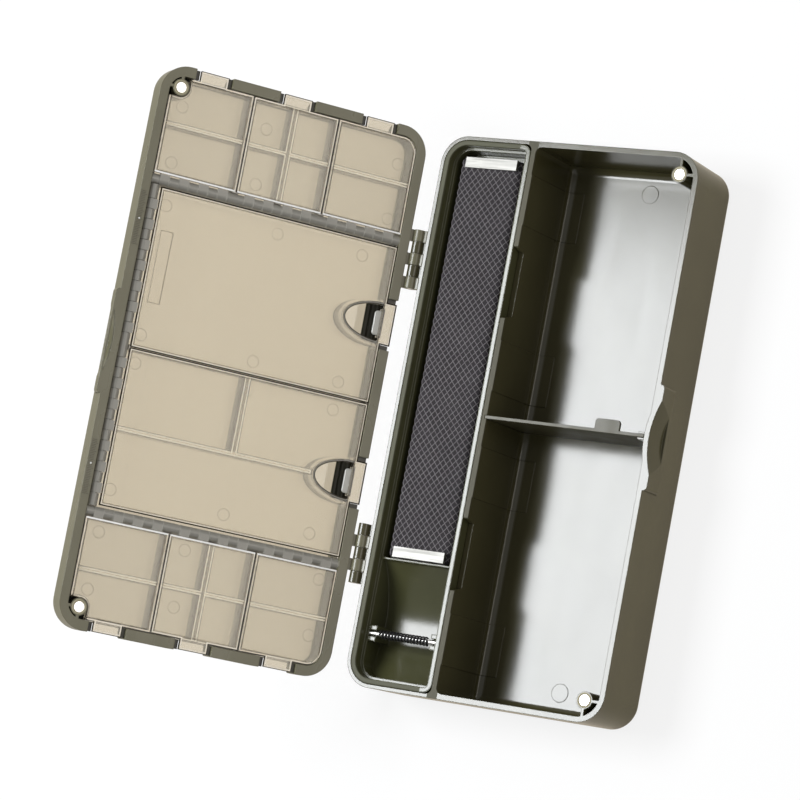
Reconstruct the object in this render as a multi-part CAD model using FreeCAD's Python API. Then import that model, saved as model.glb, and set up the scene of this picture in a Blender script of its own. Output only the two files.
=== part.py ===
import FreeCAD, Part
import math
import os

Vec = FreeCAD.Vector

# The case: a shallow lid hinged along one long side of a deeper base.
# X runs from the hinge side to the front, Y along the length, Z up from the underside.
case_length = 340.0
case_width = 175.0
base_height = 50.0
lid_height = 16.0
corner_radius = 17.0
wall_draft_deg = 1.3
closing_gap = 0.3
base_edge_radius = 5.0
lid_edge_radius = 4.0
lid_open_deg = 125.9
sharp_corner = 1.0
least_corner = 0.4

# Hinge barrels and their pins
hinge_axis_out = 5.46
hinge_spread = 182.0
knuckle_count = 5
knuckle_radius = 3.4
knuckle_length = 7.1
knuckle_gap = 0.2
knuckle_arm = 2.5
hinge_pin_radius = 1.5
running_gap = 0.05
stop_gap = 0.1
stop_depth = 3.1

# Base shell
base_wall = 3.3
base_floor = 3.0
tray_bay_wall = 2.2
tray_bay_width = 58.7
partition_thickness = 3.1
bay_foot_radius = 5.0
tray_bay_foot_radius = 2.0
inner_corner_radius = 4.0
lift_notch_length = 44.0
lift_notch_from_middle = 61.0
lift_notch_depth = 8.0
lift_notch_chamfer = 2.5
support_rib_thickness = 2.0
support_rib_spacing = 180.0
support_rib_count = 2
panel_width = 31.0
panel_reach = 12.5
panel_proud = 0.4
panel_places = (134.0, 32.0, -33.0, -134.0)
ejector_radius = 5.5
ejector_proud = 0.2
ejector_from_front = 54.0
ejector_from_end = 17.5

# Magnets that hold the lid shut, one pair in each half
magnet_radius = 3.25
magnet_thickness = 3.0
magnet_sunk = 0.1
magnet_from_front = 12.7
magnet_from_end = 13.35
post_radius = 5.15
post_rib_thickness = 1.8
post_gap = 0.4

# Finger scoop in the middle of the front
pad_length = 63.0
pad_proud = 2.7
pad_depth = 15.0
pad_slope = 7.0
pad_end_radius = 2.5
scoop_length = 44.0
base_scoop_bow = 4.5
base_scoop_floor_bow = 1.8
base_scoop_depth = 12.5
lid_scoop_bow = 4.0
lid_scoop_depth = 8.0
lid_lip = 1.2
lid_lip_height = 1.5

# Divider across the main bay
divider_y = 0.5
divider_thickness = 1.9
divider_gap = 0.15
divider_slot_depth = 1.4
divider_below_rim = 0.15
divider_corner = 7.0
divider_tab_length = 16.2
divider_tab_reach = 6.2
divider_tab_thickness = 1.8
divider_tab_corner = 2.2
divider_tab_from_front = 30.1
guide_rib_thickness = 1.2
guide_rib_reach = 4.5
guide_rib_below_rim = 1.5

# Lift-out insert tray beside the hinge
tray_gap = 0.3
tray_depth = 27.0
tray_rim = 3.0
tray_corner_radius = 6.0
tray_band_depth = 6.3
tray_ledge = 1.8
foam_bed_depth = 18.0
hook_bay_length = 79.0
tray_rib_thickness = 1.3
tray_skin = 1.8
hook_scoop_radius = 57.5
hook_scoop_lowest = 24.3
hook_scoop_from_end = 40.0

# Rig foam and its two retaining bars
foam_width = 42.0
foam_far_room = 4.15
foam_top_below_rim = 6.0
foam_corner_radius = 3.5
foam_crown = 0.6
foam_gap = 0.3
bar_length = 35.6
bar_width = 6.4
bar_thickness = 2.0
bar_from_foam_edge = 5.4
bar_from_foam_end = 0.4

# Coil spring that grips the rig loops, on its pin
spring_from_end = 33.2
spring_axis_below_rim = 8.4
spring_pin_radius = 1.7
spring_wire = 1.0
spring_mean_radius = 2.4
spring_pitch = 2.2
spring_turns = 15
spring_gap_samples = 24
lug_length = 7.1
lug_thickness = 2.8
lug_spacing = 6.7
lug_below_rim = 6.4
saddle_gap = 0.05

# Lid frame, a ring with a ledge round its window
lid_rim_hinge = 6.2
lid_rim_front = 5.5
lid_rim_end = 6.4
lid_ledge = 1.6
lid_ledge_thickness = 2.85
magnet_web_below_back = 1.0
lid_window_radius = 10.0
tab_length = 18.0
tab_slot = 3.0
big_tab_length = 25.5
tab_reach = 5.7

# Clear cell trays in the lid
cell_wall = 1.4
column_wall = 4.4
column_wall_skin = 1.2
cross_wall = 3.2
cell_step_width = 16.5
cell_step_height = 0.5
cell_floor = 1.3
cell_tray_gap = 0.2
cross_wall_from_end = 35.8
centre_wall_y = -1.2
wide_cell_wall_y = -49.3
upper_cells_wall_x = 85.5
thumb_well_end_wall_x = 13.0
thumb_well_end_wall_height = 5.5

# Flip covers over the cells, and the rails that hinge them
cover_below_rim = 0.2
cover_thickness = 1.6
cover_over_wall = 0.2
cover_gap = 0.6
cover_joints = (59.7, 116.0)
cover_groove_inset = 1.3
cover_groove_width = 0.4
cover_groove_depth = 0.3
rail_from_end = 69.9
rail_radius = 3.1
rail_axis_from_front = 9.1
rail_edge_gap = 0.55
rail_strip_gap = 0.35
rail_strip_thickness = 0.9
rail_rod_radius = 0.8
cover_knuckle_pitch = 12.5
cover_knuckle_length = 6.0
cover_knuckle_gap = 0.3
thumb_notch_length = 22.0
thumb_notch_reach = 24.0
thumb_notch_y = 48.9
thumb_rim = 1.6
thumb_rim_depth = 4.0
thumb_well_gap = 0.4
catch_length = 18.0
catch_thickness = 1.5
catch_depth = 4.0
label_length = 43.2
label_width = 7.5
label_from_front = 21.5
label_y = 49.0
label_depth = 0.25

# Ejector marks left on the clear mouldings, as distances from each piece's own edges
mark_radius = 3.7
mark_proud = 0.15
small_cover_mark_from_rail = 7.7
small_cover_mark_from_end = 17.4
small_cover_mark_from_middle = 16.4
big_cover_mark_from_rail = 10.1
big_cover_mark_from_wall = 8.3
big_cover_mark_from_front = 5.2
big_cover_mark_from_hinge = 21.5
cell_mark_from_wall = 4.8
cell_mark_from_end = 4.6

# Places that follow from the sizes above
hinge_face = -case_width / 2
front_face = case_width / 2
end_face = case_length / 2
base_top = base_height - closing_gap / 2
lid_low = base_height + closing_gap / 2
lid_back = lid_low + lid_height
hinge_x = hinge_face - hinge_axis_out
draft_slope = math.tan(math.radians(wall_draft_deg))
partition_hinge_face = hinge_face + tray_bay_wall + tray_bay_width
partition_bay_face = partition_hinge_face + partition_thickness
bay_front = front_face - base_wall
bay_end = end_face - base_wall
magnet_x = front_face - magnet_from_front
magnet_y = end_face - magnet_from_end
pad_face = front_face + pad_proud
rail_y = end_face - rail_from_end


def box(x0, x1, y0, y1, z0, z1):
    return Part.makeBox(x1 - x0, y1 - y0, z1 - z0, Vec(x0, y0, z0))


def cylinder(radius, start, end):
    along = end - start
    return Part.makeCylinder(radius, along.Length, start, along)


def rounded_outline(x0, x1, y0, y1, z, radii):
    # radii follow the corners: low x low y, high x low y, high x high y, low x high y
    corners = (Vec(x0, y0, z), Vec(x1, y0, z), Vec(x1, y1, z), Vec(x0, y1, z))
    incoming = (Vec(0, -1, 0), Vec(1, 0, 0), Vec(0, 1, 0), Vec(-1, 0, 0))
    starts = []
    ends = []
    arcs = []
    for i in range(4):
        leaving = incoming[(i + 1) % 4]
        start = corners[i] - incoming[i] * radii[i]
        end = corners[i] + leaving * radii[i]
        middle = corners[i] + (leaving - incoming[i]) * radii[i] * (1 - math.sqrt(0.5))
        arcs.append(Part.Arc(start, middle, end).toShape())
        starts.append(start)
        ends.append(end)
    edges = []
    for i in range(4):
        edges.append(arcs[i])
        edges.append(Part.makeLine(ends[i], starts[(i + 1) % 4]))
    return Part.Wire(edges)


def tapered_block(x0, x1, y0, y1, z_wide, z_narrow, radii):
    # a block with rounded corners whose sides lean in by the wall draft towards z_narrow
    lean = abs(z_narrow - z_wide) * draft_slope
    small_radii = [max(radius - lean, least_corner) for radius in radii]
    wide = rounded_outline(x0, x1, y0, y1, z_wide, radii)
    narrow = rounded_outline(x0 + lean, x1 - lean, y0 + lean, y1 - lean, z_narrow, small_radii)
    return Part.makeLoft([wide, narrow], True, True)


def straight_block(x0, x1, y0, y1, z0, z1, radii):
    face = Part.Face(rounded_outline(x0, x1, y0, y1, z0, radii))
    return face.extrude(Vec(0, 0, z1 - z0))


def round_level_edges(solid, z, radius):
    level = [edge for edge in solid.Edges
             if abs(edge.BoundBox.ZMin - z) < 1e-6 and abs(edge.BoundBox.ZMax - z) < 1e-6]
    return solid.makeFillet(radius, level)


def joined(shapes):
    solid = shapes[0]
    for shape in shapes[1:]:
        solid = solid.fuse(shape)
    return solid.removeSplitter()


def without(solid, cuts):
    for cut in cuts:
        solid = solid.cut(cut)
    return solid


def mirrored(shape):
    return shape.mirror(Vec(0, 0, 0), Vec(0, 1, 0))


def opened(shape):
    # swings a closed lid piece about the hinge to the stop where the lid rests open
    turned = shape.copy()
    turned.rotate(Vec(hinge_x, 0, base_height), Vec(0, -1, 0), lid_open_deg)
    return turned


def bow_radius(chord, bow):
    return chord * chord / (8 * bow) + bow / 2


# Hinge knuckles
def knuckle_span(hinge_y, index):
    pitch = knuckle_length + knuckle_gap
    middle = hinge_y + (index - (knuckle_count - 1) / 2) * pitch
    return middle - knuckle_length / 2, middle + knuckle_length / 2


def hinge_places():
    # first hinge: outer knuckles on the lid; second hinge: outer knuckles on the base
    lid_spans = []
    base_spans = []
    for hinge_y, first_owner in ((hinge_spread / 2, lid_spans), (-hinge_spread / 2, base_spans)):
        second_owner = base_spans if first_owner is lid_spans else lid_spans
        for index in range(knuckle_count):
            owner = first_owner if index % 2 == 0 else second_owner
            owner.append(knuckle_span(hinge_y, index))
    return lid_spans, base_spans


def knuckle(y0, y1, side):
    # side is -1 below the axis for the base and +1 above it for the lid
    barrel = cylinder(knuckle_radius, Vec(hinge_x, y0, base_height), Vec(hinge_x, y1, base_height))
    outer = base_height + side * knuckle_radius
    inner = outer - side * knuckle_arm
    arm = box(hinge_x, hinge_face + tray_bay_wall / 2, y0, y1, min(outer, inner), max(outer, inner))
    return joined([barrel, arm])


def stop_heel(y0, y1):
    # flat heel under each lid knuckle that meets the base wall when the lid is open
    face_x = hinge_face - stop_gap
    points = [Vec(hinge_x, y0, base_height), Vec(face_x, y0, base_height),
              Vec(face_x, y0, base_height - stop_depth), Vec(hinge_x, y0, base_height - stop_depth)]
    heel = Part.Face(Part.makePolygon(points + points[:1])).extrude(Vec(0, y1 - y0, 0))
    heel.rotate(Vec(hinge_x, 0, base_height), Vec(0, -1, 0), -lid_open_deg)
    return heel


def hinge_bore(radius, y0, y1):
    return cylinder(radius, Vec(hinge_x, y0, base_height), Vec(hinge_x, y1, base_height))


def hinge_pins():
    pins = []
    for hinge_y in (hinge_spread / 2, -hinge_spread / 2):
        start = knuckle_span(hinge_y, 0)[0]
        end = knuckle_span(hinge_y, knuckle_count - 1)[1]
        pins.append(hinge_bore(hinge_pin_radius, start, end))
    return Part.makeCompound(pins)


# Finger scoop
def finger_pad(z_rim, z_far):
    # raised pad on the front wall; its far edge slopes back into the wall
    toward_far = 1 if z_far > z_rim else -1
    inside = front_face - base_wall / 2
    low = -pad_length / 2
    points = [Vec(inside, low, z_rim), Vec(pad_face, low, z_rim), Vec(pad_face, low, z_far),
              Vec(inside, low, z_far + toward_far * pad_slope)]
    pad = Part.Face(Part.makePolygon(points + points[:1])).extrude(Vec(0, pad_length, 0))
    upright = [edge for edge in pad.Edges
               if abs(edge.BoundBox.XMin - pad_face) < 1e-6 and abs(edge.BoundBox.XMax - pad_face) < 1e-6
               and edge.BoundBox.YLength < 1e-6]
    return pad.makeFillet(pad_end_radius, upright)


def base_scoop(extra):
    # the fingertip hollow: a cone that is deepest at the rim, grown by extra for the wall behind it
    radius = bow_radius(scoop_length, base_scoop_bow)
    middle_x = pad_face - base_scoop_bow + radius
    floor_radius = radius - (base_scoop_bow - base_scoop_floor_bow)
    floor_z = base_top - base_scoop_depth - extra
    return Part.makeCone(floor_radius + extra, radius + extra, base_top - floor_z, Vec(middle_x, 0, floor_z))


def lid_scoop():
    radius = bow_radius(scoop_length, lid_scoop_bow)
    middle_x = pad_face - lid_scoop_bow + radius
    hollow = Part.makeCylinder(radius, lid_scoop_depth, Vec(middle_x, 0, lid_low))
    lip = box(pad_face - lid_lip, pad_face, -scoop_length, scoop_length, lid_low, lid_low + lid_lip_height)
    return hollow.cut(lip)


# Magnet posts
def magnet_post(side, z_face, z_root):
    y = side * magnet_y
    post = cylinder(post_radius, Vec(magnet_x, y, z_root), Vec(magnet_x, y, z_face))
    half = post_rib_thickness / 2
    z0 = min(z_face, z_root)
    z1 = max(z_face, z_root)
    front_rib = box(magnet_x, bay_front + base_wall / 2, y - half, y + half, z0, z1)
    end_y = side * (bay_end + base_wall / 2)
    end_rib = box(magnet_x - half, magnet_x + half, min(y, end_y), max(y, end_y), z0, z1)
    return joined([post, front_rib, end_rib])


def magnet(side, z_face, inward):
    y = side * magnet_y
    outer = z_face + inward * magnet_sunk
    return cylinder(magnet_radius, Vec(magnet_x, y, outer), Vec(magnet_x, y, outer + inward * magnet_thickness))


def magnet_pocket(side, z_face, inward):
    y = side * magnet_y
    deep = z_face + inward * (magnet_sunk + magnet_thickness)
    return cylinder(magnet_radius, Vec(magnet_x, y, z_face), Vec(magnet_x, y, deep))


def post_room(grow, z0, z1):
    # the corner of the lid that its magnet post and ribs take up, grown for a gap or a wall
    half = post_radius + post_gap + grow
    return [Part.makeCylinder(half, z1 - z0, Vec(magnet_x, magnet_y, z0)),
            box(magnet_x, front_face, magnet_y - half, end_face, z0, z1),
            box(magnet_x - half, front_face, magnet_y, end_face, z0, z1)]


def base_magnets():
    return Part.makeCompound([magnet(side, base_top, -1) for side in (1, -1)])


def lid_magnets():
    return Part.makeCompound([magnet(side, lid_low, 1) for side in (1, -1)])


# Base shell
def main_bay(shrink):
    # the hollow of the main bay; shrink sets its walls and floor inwards
    outer_radius = corner_radius - base_wall
    radii = (inner_corner_radius, outer_radius, outer_radius, inner_corner_radius)
    hollow = tapered_block(partition_bay_face + shrink, bay_front - shrink, -bay_end + shrink, bay_end - shrink,
                           base_top, base_floor + shrink, radii)
    return round_level_edges(hollow, base_floor + shrink, bay_foot_radius)


def tray_bay():
    outer_radius = corner_radius - tray_bay_wall
    bay_half = end_face - tray_bay_wall
    radii = (outer_radius, inner_corner_radius, inner_corner_radius, outer_radius)
    hollow = tapered_block(hinge_face + tray_bay_wall, partition_hinge_face, -bay_half, bay_half,
                           base_top, base_floor, radii)
    return round_level_edges(hollow, base_floor, tray_bay_foot_radius)


def corner_panels():
    # four thin panels that run down the partition and out over the floor
    skin = main_bay(0.0).cut(main_bay(panel_proud))
    panels = []
    for middle in panel_places:
        zone = box(partition_bay_face - panel_proud, partition_bay_face + panel_reach,
                   middle - panel_width / 2, middle + panel_width / 2, 0.0, base_top)
        panels.append(skin.common(zone))
    return panels


def lift_notches():
    # finger cut-outs in the top of the partition, with sloped ends
    cuts = []
    low = base_top - lift_notch_depth
    for side in (1, -1):
        near = side * lift_notch_from_middle
        far = side * (lift_notch_from_middle + lift_notch_length)
        slope = side * lift_notch_chamfer
        x0 = partition_hinge_face - tray_gap
        points = [Vec(x0, near, base_top), Vec(x0, far, base_top),
                  Vec(x0, far - slope, low), Vec(x0, near + slope, low)]
        face = Part.Face(Part.makePolygon(points + points[:1]))
        cuts.append(face.extrude(Vec(partition_bay_face - x0 + panel_proud, 0, 0)))
    return cuts


def tray_supports():
    ribs = []
    top = base_top - tray_depth - tray_gap
    for index in range(support_rib_count):
        middle = (index - (support_rib_count - 1) / 2) * support_rib_spacing
        ribs.append(box(hinge_face + tray_bay_wall, partition_hinge_face + partition_thickness / 2,
                        middle - support_rib_thickness / 2, middle + support_rib_thickness / 2,
                        base_floor / 2, top))
    return ribs


def divider_guides():
    # a pair of ribs down the front wall that the divider slides between
    ribs = []
    for side in (1, -1):
        near = divider_y + side * (divider_thickness / 2 + divider_gap)
        far = near + side * guide_rib_thickness
        ribs.append(box(divider_end() - guide_rib_reach, bay_front + base_wall / 2,
                        min(near, far), max(near, far), base_floor / 2, base_top - guide_rib_below_rim))
    return ribs


def divider_end():
    # where the divider stops short of the wall behind the finger scoop
    return pad_face - base_scoop_bow - base_wall - tray_gap


def ejector_marks():
    marks = []
    for side in (1, -1):
        place = Vec(front_face - ejector_from_front, side * (end_face - ejector_from_end), base_floor / 2)
        marks.append(Part.makeCylinder(ejector_radius, base_floor / 2 + ejector_proud, place))
    return marks


def base_shell():
    radii = (corner_radius,) * 4
    outer = tapered_block(hinge_face, front_face, -end_face, end_face, base_top, 0.0, radii)
    outer = round_level_edges(outer, 0.0, base_edge_radius)
    shell = joined([outer, finger_pad(base_top, base_top - pad_depth)])
    hollow = main_bay(0.0)
    shell = shell.cut(hollow).cut(tray_bay())
    inside = [base_scoop(base_wall).common(hollow)]
    for side in (1, -1):
        inside.append(magnet_post(side, base_top, base_floor / 2))
    inside += corner_panels() + tray_supports() + divider_guides() + ejector_marks()
    # ribs and posts end inside the rounded bottom edge
    shell = joined([shell] + [piece.common(outer) for piece in inside])
    spans = hinge_places()[1]
    shell = joined([shell] + [knuckle(y0, y1, -1) for y0, y1 in spans])
    half = divider_thickness / 2 + divider_gap
    slot = box(partition_bay_face - divider_slot_depth, partition_bay_face + bay_foot_radius + divider_corner,
               divider_y - half, divider_y + half, base_floor, base_top)
    cuts = [base_scoop(0.0), slot] + lift_notches()
    cuts += [magnet_pocket(side, base_top, -1) for side in (1, -1)]
    cuts += [hinge_bore(hinge_pin_radius, y0, y1) for y0, y1 in spans]
    return without(shell, cuts)


# Divider
def divider():
    # a plate with rounded lower corners and a level finger tab at its top edge
    x0 = partition_bay_face - divider_slot_depth + divider_gap
    x1 = divider_end()
    low = base_floor + divider_gap
    top = base_top - divider_below_rim
    plate = box(x0, x1, divider_y - divider_thickness / 2, divider_y + divider_thickness / 2, low, top)
    corners = [edge for edge in plate.Edges
               if edge.BoundBox.ZLength < 1e-6 and edge.BoundBox.XLength < 1e-6
               and edge.BoundBox.ZMax < base_top / 2]
    plate = plate.makeFillet(divider_corner, corners)
    tab_x = front_face - divider_tab_from_front
    face_y = divider_y + divider_thickness / 2
    half = divider_tab_length / 2
    tab = box(tab_x - half, tab_x + half, divider_y, face_y + divider_tab_reach, top - divider_tab_thickness, top)
    tab_corners = [edge for edge in tab.Edges
                   if edge.BoundBox.XLength < 1e-6 and edge.BoundBox.YLength < 1e-6
                   and edge.BoundBox.YMax > face_y]
    tab = tab.makeFillet(divider_tab_corner, tab_corners)
    return joined([plate, tab])


# Insert tray
tray_x0 = hinge_face + tray_bay_wall + tray_gap
tray_x1 = partition_hinge_face - tray_gap
tray_end = end_face - tray_bay_wall - tray_gap
foam_bay_end = end_face - hook_bay_length
spring_y = spring_from_end - end_face
tray_low = base_top - tray_depth
tray_corner_outer = corner_radius - tray_bay_wall - tray_gap
tray_radii = (tray_corner_outer, tray_corner_radius, tray_corner_radius, tray_corner_outer)
spring_z = base_top - spring_axis_below_rim
well_x0 = tray_x0 + tray_rim + tray_ledge
well_x1 = tray_x1 - tray_rim - tray_ledge
well_end = tray_end - tray_rim - tray_ledge
band_low = base_top - tray_band_depth


def hook_scoop(grow):
    # the rounded hollow beside the spring: a lying cylinder inside the tray's well, grown for its skin
    x0 = well_x0 - grow
    x1 = well_x1 + grow
    middle_y = hook_scoop_from_end - end_face
    middle = Vec(x0, middle_y, base_top - hook_scoop_lowest + hook_scoop_radius)
    round_hollow = cylinder(hook_scoop_radius + grow, middle, middle + Vec(x1 - x0, 0, 0))
    near = -foam_bay_end - tray_rib_thickness / 2 + grow
    corner = tray_corner_outer - tray_rim - tray_ledge + grow
    zone = straight_block(x0, x1, -well_end - grow, near, tray_low, band_low,
                          (corner, sharp_corner, sharp_corner, sharp_corner))
    return round_hollow.common(zone)


def foam_bed(grow):
    # the flat-floored hollow under the foam, grown for its skin
    corners = [radius - tray_rim - tray_ledge + grow for radius in tray_radii]
    near = -foam_bay_end + tray_rib_thickness / 2 - grow
    floor_z = base_top - foam_bed_depth - grow
    return straight_block(well_x0 - grow, well_x1 + grow, near, well_end + grow, floor_z, band_low,
                          (sharp_corner, sharp_corner, corners[2], corners[3]))


def spring_lugs():
    # a pair of prongs at each side, with a low saddle between them that carries the pin
    lugs = []
    top = base_top - lug_below_rim
    low = base_top - hook_scoop_lowest - tray_skin / 2
    saddle_top = spring_z - spring_pin_radius - saddle_gap
    for x0, x1 in ((tray_x0 + tray_rim / 2, tray_x0 + tray_rim + lug_length),
                   (tray_x1 - tray_rim - lug_length, tray_x1 - tray_rim / 2)):
        for side in (1, -1):
            middle = spring_y + side * lug_spacing / 2
            lugs.append(box(x0, x1, middle - lug_thickness / 2, middle + lug_thickness / 2, low, top))
        lugs.append(box(x0, x1, spring_y - lug_spacing / 2, spring_y + lug_spacing / 2, low, saddle_top))
    return lugs


def insert_tray():
    # a moulding of even thickness: rim, stepped well, foam bed and hook scoop, hollow underneath
    body = tapered_block(tray_x0, tray_x1, -tray_end, tray_end, base_top, tray_low, tray_radii)
    rim_radii = [radius - tray_rim for radius in tray_radii]
    band = straight_block(tray_x0 + tray_rim, tray_x1 - tray_rim, -tray_end + tray_rim, tray_end - tray_rim,
                          band_low, base_top, rim_radii)
    wall = tray_skin + tray_depth * draft_slope
    under_radii = [radius - wall for radius in tray_radii]
    under = straight_block(tray_x0 + wall, tray_x1 - wall, -tray_end + wall, tray_end - wall,
                           tray_low, band_low - tray_skin, under_radii)
    under = without(under, [foam_bed(tray_skin), hook_scoop(tray_skin)])
    body = without(body, [band, foam_bed(0.0), hook_scoop(0.0), under])
    return joined([body] + spring_lugs())


def spring_pin():
    x0 = well_x0 + saddle_gap
    x1 = well_x1 - saddle_gap
    return cylinder(spring_pin_radius, Vec(x0, spring_y, spring_z), Vec(x1, spring_y, spring_z))


# Coil spring
def arc_middle(start, control, end):
    # the point halfway along the arc that leaves start towards control and arrives at end
    chord_middle = (start + end) * 0.5
    half_turn = math.acos(max(-1.0, min(1.0, (control - start).normalize().dot((end - start).normalize()))))
    return chord_middle + (control - chord_middle) * (math.tan(half_turn / 2) / math.tan(half_turn))


def biarc(start, start_way, end, end_way):
    # two arcs that join two points and keep the direction at each
    span = end - start
    ways = start_way + end_way
    a = 4.0 - ways.dot(ways)
    b = 2.0 * span.dot(ways)
    reach = (-b + math.sqrt(b * b + 4.0 * a * span.dot(span))) / (2.0 * a)
    first = start + start_way * reach
    second = end - end_way * reach
    meet = (first + second) * 0.5
    return [Part.Arc(start, arc_middle(start, first, meet), meet).toShape(),
            Part.Arc(meet, arc_middle(meet, second, end), end).toShape()]


def spring_point(turn):
    angle = 2 * math.pi * turn
    middle_x = (tray_x0 + tray_x1) / 2
    x = middle_x + (turn - spring_turns / 2) * spring_pitch
    y = spring_y + spring_mean_radius * math.sin(angle)
    return Vec(x, y, spring_z + spring_mean_radius * math.cos(angle))


def spring_way(turn):
    angle = 2 * math.pi * turn
    round_speed = 2 * math.pi * spring_mean_radius
    return Vec(spring_pitch, round_speed * math.cos(angle), -round_speed * math.sin(angle)).normalize()


def spring_least_gap(samples_per_turn):
    # distance between the wire and itself on the neighbouring turns
    least = spring_pitch * spring_turns
    steps = samples_per_turn * 2
    for i in range(steps):
        here = spring_point(i / samples_per_turn)
        for j in range(i + samples_per_turn // 2, steps):
            least = min(least, (spring_point(j / samples_per_turn) - here).Length)
    return least - spring_wire


def coil_spring():
    first_way = spring_way(0)
    last_way = spring_way(spring_turns)
    first = spring_point(0)
    last = spring_point(spring_turns)
    edges = [Part.makeLine(first - first_way * spring_wire, first)]
    for quarter in range(spring_turns * 4):
        here = quarter / 4
        there = (quarter + 1) / 4
        edges += biarc(spring_point(here), spring_way(here), spring_point(there), spring_way(there))
    edges.append(Part.makeLine(last, last + last_way * spring_wire))
    route = Part.Wire(edges)
    section = Part.Wire([Part.makeCircle(spring_wire / 2, first - first_way * spring_wire, first_way)])
    solid = route.makePipeShell([section], True, False)
    expected = math.pi * spring_wire ** 2 / 4 * route.Length
    print("spring: volume %.2f against %.2f, least gap to itself %.2f mm"
          % (solid.Volume, expected, spring_least_gap(spring_gap_samples)))
    return solid


# Foam and bars
foam_x0 = (tray_x0 + tray_x1 - foam_width) / 2
foam_y0 = -foam_bay_end + tray_rib_thickness / 2 + foam_gap
foam_length = well_end - foam_far_room - foam_y0
foam_top = base_top - foam_top_below_rim


def foam_pad():
    # a soft block whose top is slightly crowned across its width
    low = base_top - foam_bed_depth + foam_gap
    x1 = foam_x0 + foam_width
    radii = (foam_corner_radius,) * 4
    block = straight_block(foam_x0, x1, foam_y0, foam_y0 + foam_length, low, foam_top, radii)
    radius = bow_radius(foam_width, foam_crown)
    middle = Vec((foam_x0 + x1) / 2, foam_y0, foam_top - radius)
    crown = cylinder(radius, middle, middle + Vec(0, foam_length, 0))
    return block.common(crown)


def foam_bars():
    bars = []
    x1 = foam_x0 + foam_width - bar_from_foam_edge + foam_corner_radius
    low = foam_top + foam_gap
    starts = (foam_y0 + bar_from_foam_end, foam_y0 + foam_length - bar_from_foam_end - bar_width)
    for start in starts:
        bars.append(box(x1 - bar_length, x1, start, start + bar_width, low, low + bar_thickness))
    return Part.makeCompound(bars)


# Lid frame, drawn closed over the base
lid_inner_x0 = hinge_face + lid_rim_hinge
lid_inner_x1 = front_face - lid_rim_front
lid_inner_end = end_face - lid_rim_end
cover_outer = lid_low + cover_below_rim
cover_inner = cover_outer + cover_thickness
cell_top = cover_inner + cover_over_wall
ledge_z = lid_back - lid_ledge_thickness
rail_axis_z = cover_outer + rail_radius
rail_strip_z = rail_axis_z + rail_radius + rail_strip_gap
rail_seat_z = rail_strip_z + rail_strip_thickness
front_rail_x = front_face - rail_axis_from_front
small_cover_y = rail_y + rail_radius + rail_edge_gap
column_edges = [lid_inner_x0 + cover_gap / 2]
for joint in cover_joints:
    column_edges += [hinge_face + joint - cover_gap / 2, hinge_face + joint + cover_gap / 2]
column_edges.append(lid_inner_x1 - cover_gap)
columns = list(zip(column_edges[0::2], column_edges[1::2]))


def tab_notch(x0, x1, y0, y1):
    # a gap right through the frame's wall, so that a fingertip gets under the cover's tab
    return box(x0, x1, y0, y1, lid_low, lid_back)


def magnet_web():
    # the floor of the corner that carries the magnet post
    wall_end = lid_inner_end + lid_ledge
    corner = straight_block(lid_inner_x0, lid_inner_x1 + lid_ledge, -wall_end, wall_end, ledge_z,
                            lid_back - magnet_web_below_back, (lid_window_radius,) * 4)
    places = post_room(0.0, ledge_z, lid_back)
    room = joined(places)
    return [corner.common(room), corner.common(mirrored(room))]


def lid_frame():
    radii = (corner_radius,) * 4
    outer = tapered_block(hinge_face, front_face, -end_face, end_face, lid_low, lid_back, radii)
    outer = round_level_edges(outer, lid_back, lid_edge_radius)
    frame = joined([outer, finger_pad(lid_low, lid_low + lid_height - lid_edge_radius - pad_slope)])
    opening = straight_block(lid_inner_x0, lid_inner_x1, -lid_inner_end, lid_inner_end, lid_low, ledge_z,
                             (lid_window_radius,) * 4)
    window = straight_block(lid_inner_x0 + lid_ledge, lid_inner_x1 - lid_ledge, -lid_inner_end + lid_ledge,
                            lid_inner_end - lid_ledge, ledge_z, lid_back, (lid_window_radius - lid_ledge,) * 4)
    frame = frame.cut(opening).cut(window)
    frame = joined([frame] + magnet_web())
    for side in (1, -1):
        frame = joined([frame, magnet_post(side, lid_low, ledge_z + lid_ledge_thickness / 2)])
    spans = hinge_places()[0]
    for y0, y1 in spans:
        frame = joined([frame, knuckle(y0, y1, 1), stop_heel(y0, y1)])
    cuts = [lid_scoop()]
    cuts += [magnet_pocket(side, lid_low, 1) for side in (1, -1)]
    cuts += [hinge_bore(hinge_pin_radius + running_gap, y0, y1) for y0, y1 in spans]
    half = tab_length / 2 + tab_slot
    for x0, x1 in columns:
        middle = (x0 + x1) / 2
        cuts.append(tab_notch(middle - half, middle + half, lid_inner_end, end_face))
        cuts.append(tab_notch(middle - half, middle + half, -end_face, -lid_inner_end))
    half = big_tab_length / 2 + tab_slot
    for middle in thumb_places():
        cuts.append(tab_notch(hinge_face, lid_inner_x0, middle - half, middle + half))
    return without(frame, cuts)


def thumb_places():
    return (centre_wall_y + thumb_notch_y + cover_gap, centre_wall_y - thumb_notch_y + cover_gap)


# Clear cell trays
tray_corner = lid_window_radius - cell_tray_gap
cell_x0 = lid_inner_x0 + cell_tray_gap
cell_x1 = lid_inner_x1 - cell_tray_gap
cell_end = lid_inner_end - cell_tray_gap
cell_back = ledge_z - cell_tray_gap
cell_floor_z = cell_back - cell_floor


def hollow_cell(x0, x1, y0, y1):
    return box(x0, x1, y0, y1, lid_low, cell_floor_z)


def corner_room():
    # the inside of the row tray's own rounded outer corners
    radius = tray_corner - cell_wall
    return straight_block(cell_x0 + cell_wall, cell_x1 - cell_wall, 0.0, cell_end - cell_wall,
                          lid_low, lid_back, (sharp_corner, sharp_corner, radius, radius))


def column_wall_hollow(x, y0, y1):
    # the walls between columns are double, open at the back of the moulding
    half = column_wall / 2 - column_wall_skin
    return box(x - half, x + half, y0, y1, cell_top + column_wall_skin, cell_back)


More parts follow.
